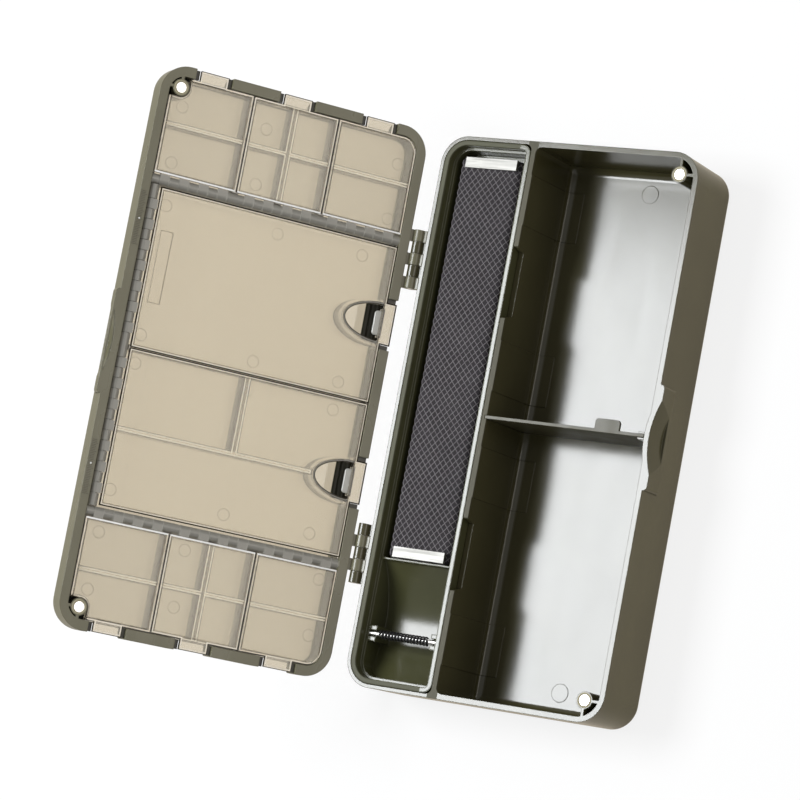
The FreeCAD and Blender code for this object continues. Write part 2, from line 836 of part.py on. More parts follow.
def floor_mark(x, y):
    return Part.makeCylinder(mark_radius, cell_floor / 2 + mark_proud, Vec(x, y, cell_floor_z - mark_proud))


def row_tray():
    # eight cells in three columns, cut back at the front for the magnet post
    inner_y = rail_y + cell_tray_gap / 2
    wall_y = rail_y + rail_radius
    body = straight_block(cell_x0, cell_x1, inner_y, cell_end, cell_top, cell_back,
                          (sharp_corner, sharp_corner, tray_corner, tray_corner))
    seat = box(cell_x0, cell_x1, inner_y, wall_y, cell_top, rail_seat_z)
    cross_y = end_face - cross_wall_from_end
    far_y = cell_end - cell_wall
    room = without(corner_room(), post_room(cell_wall, lid_low, lid_back))
    cells = []
    hollows = []
    marks = []
    for number, (x0, x1) in enumerate(columns):
        left = cell_x0 + cell_wall if number == 0 else x0 - cover_gap / 2 + column_wall / 2
        right = cell_x1 - cell_wall if number == 2 else x1 + cover_gap / 2 - column_wall / 2
        splits = [(left, right)]
        if number == 1:
            middle = (left + right) / 2
            splits = [(left, middle - column_wall / 2), (middle + column_wall / 2, right)]
            hollows.append(column_wall_hollow(middle, wall_y, far_y))
        if number != 2:
            hollows.append(column_wall_hollow(x1 + cover_gap / 2, wall_y, far_y))
        for a, b in splits:
            cells.append(hollow_cell(a, b, wall_y, cross_y - cross_wall / 2))
            cells.append(hollow_cell(a, b, cross_y + cross_wall / 2, far_y).common(room))
        marks.append(floor_mark(splits[0][0] + cell_mark_from_wall, far_y - cell_mark_from_end))
        marks.append(floor_mark(splits[0][0] + cell_mark_from_wall, wall_y + cell_mark_from_end))
    body = without(body, cells)
    return without(joined([body] + marks), hollows + [seat] + post_room(0.0, lid_low, lid_back))


def thumb_outline(middle, grow, z):
    # half an ellipse that opens towards the hinge side
    x0 = lid_inner_x0 + cover_gap + catch_thickness
    centre = Vec(x0, middle, z)
    reach = thumb_notch_reach + grow
    half = thumb_notch_length / 2 + grow
    curve = Part.Ellipse(centre + Vec(reach, 0, 0), centre + Vec(0, half, 0), centre)
    zone = box(x0, x0 + reach * 2, middle - half * 2, middle + half * 2, z - half, z + half)
    arc = curve.toShape().common(zone)
    closing = Part.makeLine(Vec(x0, middle + half, z), Vec(x0, middle - half, z))
    return Part.Wire(Part.__sortEdges__(arc.Edges + [closing]))


def thumb_block(middle, grow, z0, z1):
    return Part.Face(thumb_outline(middle, grow, z0)).extrude(Vec(0, 0, z1 - z0))


def centre_tray():
    # one large cell, and three cells beyond the middle wall; a thumb well at each cover's tab
    side_y = rail_y - cell_tray_gap / 2
    body = box(cell_x0, cell_x1, -side_y, side_y, cell_top, cell_back)
    edge_y = rail_y - rail_radius
    front_wall = front_rail_x - rail_radius
    x0 = cell_x0 + cell_wall
    half = cross_wall / 2
    half_column = column_wall / 2
    wide_x = hinge_face + upper_cells_wall_x
    upper_span = (wide_cell_wall_y + half, centre_wall_y - half)
    lower_span = (-edge_y, wide_cell_wall_y - half)
    cells = [hollow_cell(x0, front_wall, centre_wall_y + half, edge_y),
             hollow_cell(x0, front_wall, *lower_span),
             hollow_cell(x0, wide_x - half_column, *upper_span),
             hollow_cell(wide_x + half_column, front_wall, *upper_span),
             column_wall_hollow(wide_x, *upper_span)]
    body = without(body, cells)
    # a low step along the front of the three smaller cells
    steps = ((front_wall, lower_span), (wide_x - half_column, upper_span), (front_wall, upper_span))
    for front, (low, high) in steps:
        step = box(front - cell_step_width, front, low, high, cell_floor_z - cell_step_height, cell_floor_z)
        body = joined([body, step])
    body = joined([body, floor_mark(x0 + cell_mark_from_wall, upper_span[1] - cell_mark_from_end)])
    well_z = cover_inner + thumb_rim_depth / 2
    for middle in thumb_places():
        grow = thumb_rim + thumb_well_gap
        wall = thumb_block(middle, grow + cell_wall, well_z, cell_floor_z)
        body = joined([body, wall])
    for middle in thumb_places():
        half_well = thumb_notch_length / 2 + thumb_rim + thumb_well_gap
        end_x = hinge_face + thumb_well_end_wall_x
        mouth = box(cell_x0, end_x, middle - half_well, middle + half_well, lid_low, lid_back)
        well = thumb_block(middle, thumb_rim + thumb_well_gap, lid_low, cell_floor_z)
        guard = box(end_x, end_x + cell_wall, middle - half_well, middle + half_well,
                    cell_floor_z - thumb_well_end_wall_height, cell_floor_z)
        body = body.cut(mouth).cut(well.cut(guard))
    seats = [box(cell_x0, cell_x1, edge_y, side_y, cell_top, rail_seat_z),
             box(cell_x0, cell_x1, -side_y, -edge_y, cell_top, rail_seat_z),
             box(front_wall, cell_x1, -side_y, side_y, cell_top, rail_seat_z)]
    return without(body, seats)


# Rails and flip covers
def knuckle_offsets(length):
    count = int((length - cover_knuckle_length) // cover_knuckle_pitch) + 1
    return [(index - (count - 1) / 2) * cover_knuckle_pitch for index in range(count)]


def row_knuckles():
    places = []
    for x0, x1 in columns:
        for offset in knuckle_offsets(x1 - x0 - cover_knuckle_length):
            places.append((x0 + x1) / 2 + offset)
    return places


def big_cover_span(number):
    edge = rail_y - rail_radius - rail_edge_gap - cover_gap
    if number == 1:
        return centre_wall_y + cover_gap / 2, edge
    return -edge, centre_wall_y - cover_gap / 2


def big_knuckles(number):
    y0, y1 = big_cover_span(number)
    return [(y0 + y1) / 2 + offset for offset in knuckle_offsets(y1 - y0 - cover_knuckle_length)]


def rail(start, end, across, knuckle_middles):
    # a barrel along the rail with a web and a foot strip, gapped where the covers' knuckles turn
    way = (end - start).normalize()
    barrel = cylinder(rail_radius, start, end)
    web_half = rail_radius / 2
    web = strip_along(start, end, across, web_half, rail_axis_z, rail_seat_z)
    room = cover_knuckle_length / 2 + cover_knuckle_gap
    body = joined([barrel, web])
    for middle in knuckle_middles:
        from_start = middle - start.dot(way)
        a = start + way * (from_start - room)
        b = start + way * (from_start + room)
        body = body.cut(strip_along(a, b, across, 2 * rail_radius, rail_axis_z - 2 * rail_radius, rail_strip_z))
    foot = strip_along(start, end, across, rail_radius, rail_strip_z, rail_seat_z)
    body = joined([body, foot])
    return body.cut(cylinder(rail_rod_radius, start, end))


def strip_along(start, end, across, half, z0, z1):
    a = start - across * half
    b = end + across * half
    return box(min(a.x, b.x), max(a.x, b.x), min(a.y, b.y), max(a.y, b.y), z0, z1)


def row_rail_ends():
    return Vec(cell_x0, rail_y, rail_axis_z), Vec(cell_x1, rail_y, rail_axis_z)


def front_rail_ends():
    reach = rail_y - rail_radius - cell_tray_gap
    return Vec(front_rail_x, -reach, rail_axis_z), Vec(front_rail_x, reach, rail_axis_z)


def row_rail():
    start, end = row_rail_ends()
    return rail(start, end, Vec(0, 1, 0), row_knuckles())


def front_rail():
    start, end = front_rail_ends()
    return rail(start, end, Vec(1, 0, 0), big_knuckles(1) + big_knuckles(2))


def rail_rods():
    row_rod = cylinder(rail_rod_radius, *row_rail_ends())
    front_rod = cylinder(rail_rod_radius, *front_rail_ends())
    return Part.makeCompound([row_rod, mirrored(row_rod), front_rod])


def cover_plate(x0, x1, y0, y1):
    # a flat plate with a fine groove just inside its edge
    plate = box(x0, x1, y0, y1, cover_outer, cover_inner)
    inset = cover_groove_inset
    inner = inset + cover_groove_width
    low = cover_outer
    high = cover_outer + cover_groove_depth
    ring = box(x0 + inset, x1 - inset, y0 + inset, y1 - inset, low, high)
    return plate.cut(ring.cut(box(x0 + inner, x1 - inner, y0 + inner, y1 - inner, low, high)))


def cover_mark(x, y):
    middle_z = (cover_outer + cover_inner) / 2
    return Part.makeCylinder(mark_radius, cover_thickness / 2 + mark_proud, Vec(x, y, middle_z))


def small_cover(column):
    # flips up on the row rail; a tab at the far edge lies in the frame's notch
    x0, x1 = columns[column]
    y1 = lid_inner_end - cover_gap
    middle = (x0 + x1) / 2
    half_tab = tab_length / 2
    pieces = [cover_plate(x0, x1, small_cover_y, y1)]
    pieces.append(box(middle - half_tab, middle + half_tab, y1 - cover_gap, lid_inner_end + tab_reach,
                      cover_outer, cover_inner))
    outward = (-1, 1, 1)[column]
    for y in (small_cover_y + small_cover_mark_from_rail, y1 - small_cover_mark_from_end):
        pieces.append(cover_mark(middle + outward * small_cover_mark_from_middle, y))
    for offset in knuckle_offsets(x1 - x0 - cover_knuckle_length):
        a = middle + offset - cover_knuckle_length / 2
        b = middle + offset + cover_knuckle_length / 2
        pieces.append(cylinder(rail_radius, Vec(a, rail_y, rail_axis_z), Vec(b, rail_y, rail_axis_z)))
        pieces.append(box(a, b, rail_y, small_cover_y + cover_gap, cover_outer, cover_inner))
    cuts = [cylinder(rail_rod_radius + running_gap, Vec(x0, rail_y, rail_axis_z), Vec(x1, rail_y, rail_axis_z))]
    radius = lid_window_radius - cover_gap
    keep = straight_block(columns[0][0], columns[2][1], 0.0, y1, lid_low, cell_top,
                          (sharp_corner, sharp_corner, radius, radius))
    if column != 1:
        cuts.append(box(x0, x1, y1 - radius, y1, lid_low, cell_top).cut(keep))
    if column == 2:
        cuts += post_room(0.0, lid_low, cell_top)
    return without(joined(pieces), cuts)


def big_cover(number):
    # flips up on the front rail; a thumb notch and a snap tab lie at the hinge side
    y0, y1 = big_cover_span(number)
    x0 = lid_inner_x0 + cover_gap
    x1 = front_rail_x - rail_radius - rail_edge_gap
    middle = thumb_places()[number - 1]
    pieces = [cover_plate(x0, x1, y0, y1)]
    half = big_tab_length / 2
    pieces.append(box(lid_inner_x0 - tab_reach, x0 + cover_gap, middle - half, middle + half,
                      cover_outer, cover_inner))
    pieces.append(thumb_block(middle, thumb_rim, cover_outer, cover_outer + thumb_rim_depth))
    half = catch_length / 2
    pieces.append(box(x0, x0 + catch_thickness, middle - half, middle + half,
                      cover_outer, cover_inner + catch_depth))
    mark_ys = (y1 - big_cover_mark_from_rail, y0 + big_cover_mark_from_wall)
    if number == 2:
        mark_ys = (y1 - big_cover_mark_from_wall, y0 + big_cover_mark_from_rail)
    for mark_x in (x1 - big_cover_mark_from_front, (x0 + x1) / 2, x0 + big_cover_mark_from_hinge):
        for mark_y in mark_ys:
            pieces.append(cover_mark(mark_x, mark_y))
    for knuckle_y in big_knuckles(number):
        a = knuckle_y - cover_knuckle_length / 2
        b = knuckle_y + cover_knuckle_length / 2
        barrel_ends = (Vec(front_rail_x, a, rail_axis_z), Vec(front_rail_x, b, rail_axis_z))
        pieces.append(cylinder(rail_radius, *barrel_ends))
        pieces.append(box(x1 - cover_gap, front_rail_x, a, b, cover_outer, cover_inner))
    cover = joined(pieces)
    cuts = [thumb_block(middle, 0.0, cover_outer, cover_outer + thumb_rim_depth)]
    bore_ends = (Vec(front_rail_x, y0, rail_axis_z), Vec(front_rail_x, y1, rail_axis_z))
    cuts.append(cylinder(rail_rod_radius + running_gap, *bore_ends))
    if number == 1:
        place_x = front_face - label_from_front
        cuts.append(box(place_x - label_width / 2, place_x + label_width / 2, label_y - label_length / 2,
                        label_y + label_length / 2, cover_outer, cover_outer + label_depth))
    return without(cover, cuts)


def write(name, shape):
    if not shape.isValid():
        print("not valid:", name)
    shape.exportStep("parts/" + name + ".step")


os.makedirs("parts", exist_ok=True)
write("base_shell", base_shell())
write("base_magnets", base_magnets())
write("hinge_pins", hinge_pins())
write("divider", divider())
write("insert_tray", insert_tray())
write("foam_pad", foam_pad())
write("foam_bars", foam_bars())
write("spring_pin", spring_pin())
write("coil_spring", coil_spring())
write("lid_frame", opened(lid_frame()))
write("lid_magnets", opened(lid_magnets()))
write("cell_tray_a", opened(row_tray()))
write("cell_tray_b", opened(mirrored(row_tray())))
write("cell_tray_centre", opened(centre_tray()))
write("rail_a", opened(row_rail()))
write("rail_b", opened(mirrored(row_rail())))
write("rail_front", opened(front_rail()))
write("rail_rods", opened(rail_rods()))
for column, place in enumerate(("back", "middle", "front")):
    cover = small_cover(column)
    write("row_a_cover_" + place, opened(cover))
    write("row_b_cover_" + place, opened(mirrored(cover)))
for number in (1, 2):
    write("big_cover_%d" % number, opened(big_cover(number)))
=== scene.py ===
import math
import random

import bmesh
import bpy
from mathutils import Matrix, Vector


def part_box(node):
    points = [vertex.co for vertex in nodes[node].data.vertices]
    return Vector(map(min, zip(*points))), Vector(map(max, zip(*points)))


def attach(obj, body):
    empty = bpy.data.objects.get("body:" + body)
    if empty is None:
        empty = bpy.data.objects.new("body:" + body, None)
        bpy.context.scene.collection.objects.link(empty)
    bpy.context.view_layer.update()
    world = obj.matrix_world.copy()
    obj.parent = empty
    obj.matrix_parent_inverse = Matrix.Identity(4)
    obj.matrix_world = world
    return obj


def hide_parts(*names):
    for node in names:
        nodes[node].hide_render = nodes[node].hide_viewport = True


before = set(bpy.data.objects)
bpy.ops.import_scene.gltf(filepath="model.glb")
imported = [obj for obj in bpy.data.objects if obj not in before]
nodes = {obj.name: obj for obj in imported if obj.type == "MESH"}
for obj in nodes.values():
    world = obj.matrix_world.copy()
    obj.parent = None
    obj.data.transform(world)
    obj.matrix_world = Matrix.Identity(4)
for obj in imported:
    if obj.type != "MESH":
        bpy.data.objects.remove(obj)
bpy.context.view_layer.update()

# The camera stands where the photograph was taken: over the front of the box, far off,
# with a long lens, and rolled so that the box lies aslant in the picture.
camera_place = Vector((1.075415, -0.253652, 1.970016))
camera_aim = Vector((-0.114995, 0.011195, 0.0))
camera_roll = -68.6237
camera_lens = 168.153
camera_film = 36.0
camera_sees_to = 20.0
view_camera = bpy.data.objects.new("view_camera", bpy.data.cameras.new("view_camera"))
view_camera.data.sensor_width = camera_film
view_camera.data.lens = camera_lens
view_camera.data.clip_end = camera_sees_to
level = (camera_aim - camera_place).to_track_quat("-Z", "Y").to_matrix().to_4x4()
view_camera.matrix_world = (Matrix.Translation(camera_place) @ level
                            @ Matrix.Rotation(math.radians(camera_roll), 4, "Z"))
bpy.context.scene.collection.objects.link(view_camera)
bpy.context.scene.camera = view_camera
bpy.context.scene.view_settings.view_transform = "Standard"


# The studio: a pale floor under the box in a plain room. The floor is white to the eye, in
# reflections and through the clear lid, dims far from the box, and keeps a faint shadow.
def add_node(tree, kind, **inputs):
    node = tree.nodes.new(kind)
    for name, value in inputs.items():
        node.inputs[name.replace("_", " ")].default_value = value
    return node


def feed(tree, socket, value):
    # a socket takes the output of another node or a plain value
    if isinstance(value, bpy.types.NodeSocket):
        tree.links.new(value, socket)
    else:
        socket.default_value = value


def math_node(tree, operation, first, second=0.0):
    node = tree.nodes.new("ShaderNodeMath")
    node.operation = operation
    feed(tree, node.inputs[0], first)
    feed(tree, node.inputs[1], second)
    return node.outputs[0]


def vector_node(tree, operation, first, second=(0, 0, 0)):
    node = tree.nodes.new("ShaderNodeVectorMath")
    node.operation = operation
    feed(tree, node.inputs[0], first)
    feed(tree, node.inputs[1], second)
    return node.outputs["Value"]


def colour_mix(tree, factor, first, second):
    node = tree.nodes.new("ShaderNodeMix")
    node.data_type = "RGBA"
    for socket, colour in (("A", first), ("B", second)):
        feed(tree, node.inputs[socket], (*colour, 1) if isinstance(colour, tuple) else colour)
    tree.links.new(factor, node.inputs["Factor"])
    return node.outputs["Result"]


def show_mix(tree, factor, first, second, output):
    mix = tree.nodes.new("ShaderNodeMixShader")
    out = tree.nodes.new(output)
    feed(tree, mix.inputs[0], factor)
    tree.links.new(first.outputs[0], mix.inputs[1])
    tree.links.new(second.outputs[0], mix.inputs[2])
    tree.links.new(mix.outputs[0], out.inputs[0])


floor_white = (0.92, 0.92, 0.92, 1.0)
floor_half = 9.0
floor_shadow_kept = 0.18
floor_bright_to = 0.5
floor_dim_from = 1.0
floor_dim = 0.35
floor_in_gloss = (0.62, 0.54, 0.42)
floor_mesh = bpy.data.meshes.new("floor")
floor_mesh.from_pydata([(-floor_half, -floor_half, 0), (floor_half, -floor_half, 0),
                        (floor_half, floor_half, 0), (-floor_half, floor_half, 0)], [], [(0, 1, 2, 3)])
floor = bpy.data.objects.new("floor", floor_mesh)
bpy.context.scene.collection.objects.link(floor)
floor_material = bpy.data.materials.new("floor_white")
floor_material.use_nodes = True
tree = floor_material.node_tree
tree.nodes.clear()
path = tree.nodes.new("ShaderNodeLightPath").outputs
away = vector_node(tree, "LENGTH", tree.nodes.new("ShaderNodeTexCoord").outputs["Object"])
dimming = add_node(tree, "ShaderNodeMapRange", From_Min=floor_bright_to, From_Max=floor_dim_from,
                   To_Min=1.0, To_Max=floor_dim)
tree.links.new(away, dimming.inputs["Value"])
lit = add_node(tree, "ShaderNodeBsdfDiffuse", Color=floor_white)
plain = add_node(tree, "ShaderNodeEmission")
tree.links.new(colour_mix(tree, path["Is Glossy Ray"], (1, 1, 1), floor_in_gloss), plain.inputs["Color"])
tree.links.new(math_node(tree, "MAXIMUM", path["Is Camera Ray"], dimming.outputs["Result"]),
               plain.inputs["Strength"])
seen = math_node(tree, "MAXIMUM", path["Is Camera Ray"], path["Is Transmission Ray"])
seen = math_node(tree, "MAXIMUM", seen, path["Is Glossy Ray"])
show_mix(tree, math_node(tree, "MULTIPLY", seen, 1.0 - floor_shadow_kept), lit, plain, "ShaderNodeOutputMaterial")
floor.data.materials.append(floor_material)

room_light = 0.42
world = bpy.data.worlds.new("studio")
bpy.context.scene.world = world
world.use_nodes = True
tree = world.node_tree
tree.nodes.clear()
dim = add_node(tree, "ShaderNodeBackground", Color=(1, 1, 1, 1), Strength=room_light)
bright = add_node(tree, "ShaderNodeBackground", Color=(1, 1, 1, 1), Strength=1.0)
show_mix(tree, tree.nodes.new("ShaderNodeLightPath").outputs["Is Camera Ray"], dim, bright, "ShaderNodeOutputWorld")


def softbox(name, target, direction, distance, width, height, radiance, colour):
    # a flat square lamp that faces its target; radiance is what a mirror would show of it
    lamp = bpy.data.lights.new(name, "AREA")
    lamp.shape = "RECTANGLE"
    lamp.size = width
    lamp.size_y = height
    lamp.energy = radiance * math.pi * width * height
    lamp.color = colour
    holder = bpy.data.objects.new(name, lamp)
    bpy.context.scene.collection.objects.link(holder)
    way = Vector(direction).normalized()
    holder.location = Vector(target) + way * distance
    holder.rotation_euler = way.to_track_quat("Z", "Y").to_euler()


softbox("softbox_high", target=(0.03, -0.02, 0.02), direction=(-0.49, 0.065, 0.87), distance=1.7,
        width=0.72, height=0.66, radiance=16.5, colour=(0.95, 0.975, 1.0))
softbox("softbox_front", target=(-0.15, 0.0, 0.12), direction=(0.95, 0.12, 0.26), distance=1.7,
        width=1.1, height=0.8, radiance=1.6, colour=(1.0, 0.93, 0.84))


# The base, the divider and the insert tray: injection mouldings in a dark olive plastic, shiny
# inside. The divider stands loose in the base's guides, and the insert tray lifts out.
def noise_texture(tree, place, scale, detail, stretch=(1, 1, 1)):
    mapping = add_node(tree, "ShaderNodeMapping", Scale=stretch)
    tree.links.new(place, mapping.inputs["Vector"])
    noise = add_node(tree, "ShaderNodeTexNoise", Scale=scale, Detail=detail)
    tree.links.new(mapping.outputs[0], noise.inputs["Vector"])
    return noise.outputs["Fac"]


def spread(tree, value, low, high, to_low, to_high):
    node = add_node(tree, "ShaderNodeMapRange", From_Min=low, From_Max=high, To_Min=to_low, To_Max=to_high)
    tree.links.new(value, node.inputs["Value"])
    return node.outputs["Result"]


# a noise keeps mostly between these two values
noise_low = 0.3
noise_high = 0.7


def two_tone(tree, noise, first, second):
    ramp = tree.nodes.new("ShaderNodeValToRGB")
    for element, place, colour in zip(ramp.color_ramp.elements, (noise_low, noise_high), (first, second)):
        element.position = place
        element.color = (*colour, 1)
    tree.links.new(noise, ramp.inputs[0])
    return ramp.outputs[0]


def uneven(tree, noise, least, most):
    return spread(tree, noise, noise_low, noise_high, least, most)


def bumped(tree, height, strength, distance, edge_radius=None):
    bump = add_node(tree, "ShaderNodeBump", Strength=strength, Distance=distance)
    tree.links.new(height, bump.inputs["Height"])
    if edge_radius:
        bevel = add_node(tree, "ShaderNodeBevel", Radius=edge_radius)
        bevel.samples = 6
        tree.links.new(bevel.outputs[0], bump.inputs["Normal"])
    return bump.outputs["Normal"]


def new_finish(name):
    finish = bpy.data.materials.new(name)
    finish.use_nodes = True
    tree = finish.node_tree
    place = tree.nodes.new("ShaderNodeTexCoord").outputs["Object"]
    return finish, tree, tree.nodes["Principled BSDF"], place


def dress(name, finish):
    node = nodes[name]
    node.data.materials.clear()
    node.data.materials.append(finish)


def olive_moulding(name, dark, light, smooth, rough, grain, edge=None, gloss=1.55, matt=None):
    # dark olive plastic: cloudy colour, uneven polish from smooth to rough, and a fine moulded
    # grain; edge is the radius of its corners and gloss the index of refraction
    finish, tree, shader, place = new_finish(name)
    cloud = noise_texture(tree, place, scale=18.0, detail=3.0)
    tree.links.new(two_tone(tree, cloud, dark, light), shader.inputs["Base Color"])
    wipe = noise_texture(tree, place, scale=60.0, detail=4.0, stretch=(1.0, 0.35, 1.0))
    polish = uneven(tree, wipe, smooth, rough)
    if matt:
        # where the top edge is matt: above a height and between two lengths along X
        height, near, far = matt
        axes = tree.nodes.new("ShaderNodeSeparateXYZ")
        tree.links.new(place, axes.inputs[0])
        above = math_node(tree, "GREATER_THAN", axes.outputs["Z"], height)
        beyond = math_node(tree, "GREATER_THAN", axes.outputs["X"], near)
        before = math_node(tree, "LESS_THAN", axes.outputs["X"], far)
        there = math_node(tree, "MULTIPLY", above, math_node(tree, "MULTIPLY", beyond, before))
        polish = math_node(tree, "MAXIMUM", polish, math_node(tree, "MULTIPLY", there, matt_roughness))
    tree.links.new(polish, shader.inputs["Roughness"])
    shader.inputs["IOR"].default_value = gloss
    fine = noise_texture(tree, place, scale=2600.0, detail=2.0)
    tree.links.new(bumped(tree, fine, grain, distance=0.00012, edge_radius=edge), shader.inputs["Normal"])
    return finish


matt_roughness = 0.6
rim_from = 0.0485
olive_dark = (0.050, 0.045, 0.019)
olive_light = (0.066, 0.060, 0.028)
dress("base_shell", olive_moulding("base_olive", olive_dark, olive_light, smooth=0.13, rough=0.18,
                                   grain=0.12, edge=0.0005, matt=(rim_from, -0.029, -0.022)))
dress("divider", olive_moulding("divider_olive", olive_dark, olive_light, smooth=0.38, rough=0.5,
                                grain=0.2, edge=0.0004))
dress("insert_tray", olive_moulding("insert_olive", (0.052, 0.053, 0.022), (0.068, 0.068, 0.03),
                                    smooth=0.15, rough=0.2, grain=0.12, edge=0.0012,
                                    matt=(rim_from, -0.1, -0.0345)))


# The metal parts in the mouldings: nickel-plated magnet discs, bright wire pins in the hinges and
# through the spring, dull rods in the cover rails, and flat aluminium bars over the foam.
def bright_metal(name, tint, smooth, rough, brushing=(1, 1, 1)):
    # brushing is the noise's scale along each axis: small along the way that the metal is brushed
    finish, tree, shader, place = new_finish(name)
    cloud = noise_texture(tree, place, scale=120.0, detail=3.0)
    paler = tuple(min(1.0, c * 1.08) for c in tint)
    tree.links.new(two_tone(tree, cloud, tint, paler), shader.inputs["Base Color"])
    shader.inputs["Metallic"].default_value = 1.0
    lines = noise_texture(tree, place, scale=900.0, detail=3.0, stretch=brushing)
    tree.links.new(uneven(tree, lines, smooth, rough), shader.inputs["Roughness"])
    tree.links.new(bumped(tree, lines, strength=0.12, distance=0.0001, edge_radius=0.0003), shader.inputs["Normal"])
    return finish


nickel = bright_metal("magnet_nickel_plate", (0.80, 0.79, 0.77), smooth=0.12, rough=0.22)
dress("base_magnets", nickel)
dress("lid_magnets", nickel)
wire_steel = bright_metal("wire_steel", (0.72, 0.71, 0.69), smooth=0.2, rough=0.32, brushing=(0.1, 1, 1))
dress("hinge_pins", wire_steel)
dress("spring_pin", wire_steel)
dress("rail_rods", bright_metal("rod_steel", (0.33, 0.32, 0.29), smooth=0.45, rough=0.6, brushing=(1, 0.1, 1)))
dress("foam_bars", bright_metal("bar_aluminium", (0.38, 0.375, 0.355), smooth=0.5, rough=0.66,
                                brushing=(0.04, 1, 1)))


# Each magnet is held by a thin beige collar pressed round it, level with the rim. The lid's pieces
# are drawn closed and then turned about the hinge to the angle at which the lid rests.
def add_piece(name, points, faces, finish, smooth=True):
    mesh = bpy.data.meshes.new(name)
    mesh.from_pydata([tuple(p) for p in points], [], faces)
    mesh.validate()
    shape = bmesh.new()
    shape.from_mesh(mesh)
    bmesh.ops.recalc_face_normals(shape, faces=shape.faces)
    shape.to_mesh(mesh)
    shape.free()
    for polygon in mesh.polygons:
        polygon.use_smooth = smooth
    mesh.materials.append(finish)
    piece = bpy.data.objects.new(name, mesh)
    bpy.context.scene.collection.objects.link(piece)
    return piece


def around(centre, radius, height, angle):
    return Vector(centre) + Vector((radius * math.cos(angle), radius * math.sin(angle), height))


def lathed_ring(centre, profile, count):
    # a closed profile of (radius, height) turned about an upright axis through centre
    points = [around(centre, radius, height, 2 * math.pi * n / count)
              for n in range(count) for radius, height in profile]
    faces = []
    size = len(profile)
    for n in range(count):
        for m in range(size):
            a = n * size + m
            b = n * size + (m + 1) % size
            c = (n + 1) % count * size + (m + 1) % size
            d = (n + 1) % count * size + m
            faces.append((a, d, c, b))
    return points, faces


hinge_axis = Vector((-0.09296, 0.0, 0.05))
lid_angle = 125.9
lid_turn = (Matrix.Translation(hinge_axis) @ Matrix.Rotation(math.radians(-lid_angle), 4, "Y")
            @ Matrix.Translation(-hinge_axis))
base_rim_z = 0.04985
lid_rim_z = 0.05015
magnet_low, magnet_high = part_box("base_magnets")
magnet_radius = (magnet_high.x - magnet_low.x) / 2
magnet_x = (magnet_low.x + magnet_high.x) / 2
magnet_y = magnet_high.y - magnet_radius
collar_in = magnet_radius + 0.0002
collar_out = collar_in + 0.0011
collar_slope = 0.000275
collar_sunk = -0.0004
collar_proud = 0.00012
beige = olive_moulding("collar_beige", (0.34, 0.31, 0.21), (0.40, 0.365, 0.25), smooth=0.6, rough=0.75,
                       grain=0.05, gloss=1.3)
for body, rim_z, up in (("base", base_rim_z, 1), ("lid", lid_rim_z, -1)):
    for side, end in ((1, "a"), (-1, "b")):
        profile = [(collar_in, collar_sunk * up), (collar_in, 0.6 * collar_proud * up),
                   (collar_in + collar_slope, collar_proud * up), (collar_out - collar_slope, collar_proud * up),
                   (collar_out, 0.4 * collar_proud * up), (collar_out, collar_sunk * up)]
        if up < 0:
            profile = profile[::-1]
        points, faces = lathed_ring((magnet_x, side * magnet_y, rim_z), profile, 48)
        if body == "lid":
            points = [lid_turn @ point for point in points]
        collar = add_piece(f"{body}_magnet_collar_{end}", points, faces, beige)
        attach(collar, body)


# The spring is wound from black-coated wire and slides on its bright pin, which two lugs of the
# insert tray hold. Rig loops are gripped between its coils.
spring_black, tree, shader, place = new_finish("spring_black_coat")
shader.inputs["IOR"].default_value = 1.6
cloud = noise_texture(tree, place, scale=400.0, detail=2.0)
tree.links.new(two_tone(tree, cloud, (0.012, 0.012, 0.014), (0.022, 0.022, 0.025)), shader.inputs["Base Color"])
tree.links.new(uneven(tree, cloud, 0.12, 0.25), shader.inputs["Roughness"])
dress("coil_spring", spring_black)


# The rig foam: a long block of dark closed-cell foam, rounded at its edges and slightly crowned.
# Rigs are pinned into it; it lies in the insert tray and is held down by the two bars.
foam_low, foam_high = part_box("foam_pad")
foam_middle = (foam_low.x + foam_high.x) / 2
foam_half = (foam_high.x - foam_low.x) / 2
foam_edge = 0.0026
foam_crown = 0.0006
foam_pitch = 0.002


def foam_point(x, y, z):
    # a point of the plain block pulled onto the rounded and crowned form
    point = Vector((x, y, z))
    core = Vector((min(max(c, low + foam_edge), high - foam_edge)
                   for c, low, high in zip(point, foam_low, foam_high)))
    out_from_core = point - core
    if out_from_core.length > foam_edge:
        point = core + out_from_core.normalized() * foam_edge
    share = (point.z - foam_low.z) / (foam_high.z - foam_low.z)
    point.z -= share * foam_crown * ((point.x - foam_middle) / foam_half) ** 2
    return point


def block_shell(low, high, pitch, shape):
    # a closed box of small faces with every vertex passed through shape
    counts = [max(2, round((b - a) / pitch)) for a, b in zip(low, high)]
    ids = {}
    points = []
    faces = []

    def corner(i, j, k):
        if (i, j, k) not in ids:
            ids[i, j, k] = len(points)
            points.append(shape(*(a + (b - a) * n / c for a, b, n, c in zip(low, high, (i, j, k), counts))))
        return ids[i, j, k]

    for axis in range(3):
        u, v = [n for n in range(3) if n != axis]
        for end in (0, counts[axis]):
            for a in range(counts[u]):
                for b in range(counts[v]):
                    ring = []
                    for da, db in ((0, 0), (1, 0), (1, 1), (0, 1)):
                        key = [0, 0, 0]
                        key[axis], key[u], key[v] = end, a + da, b + db
                        ring.append(corner(*key))
                    outward = (end > 0) == (axis != 1)
                    faces.append(ring if outward else ring[::-1])
    return points, faces


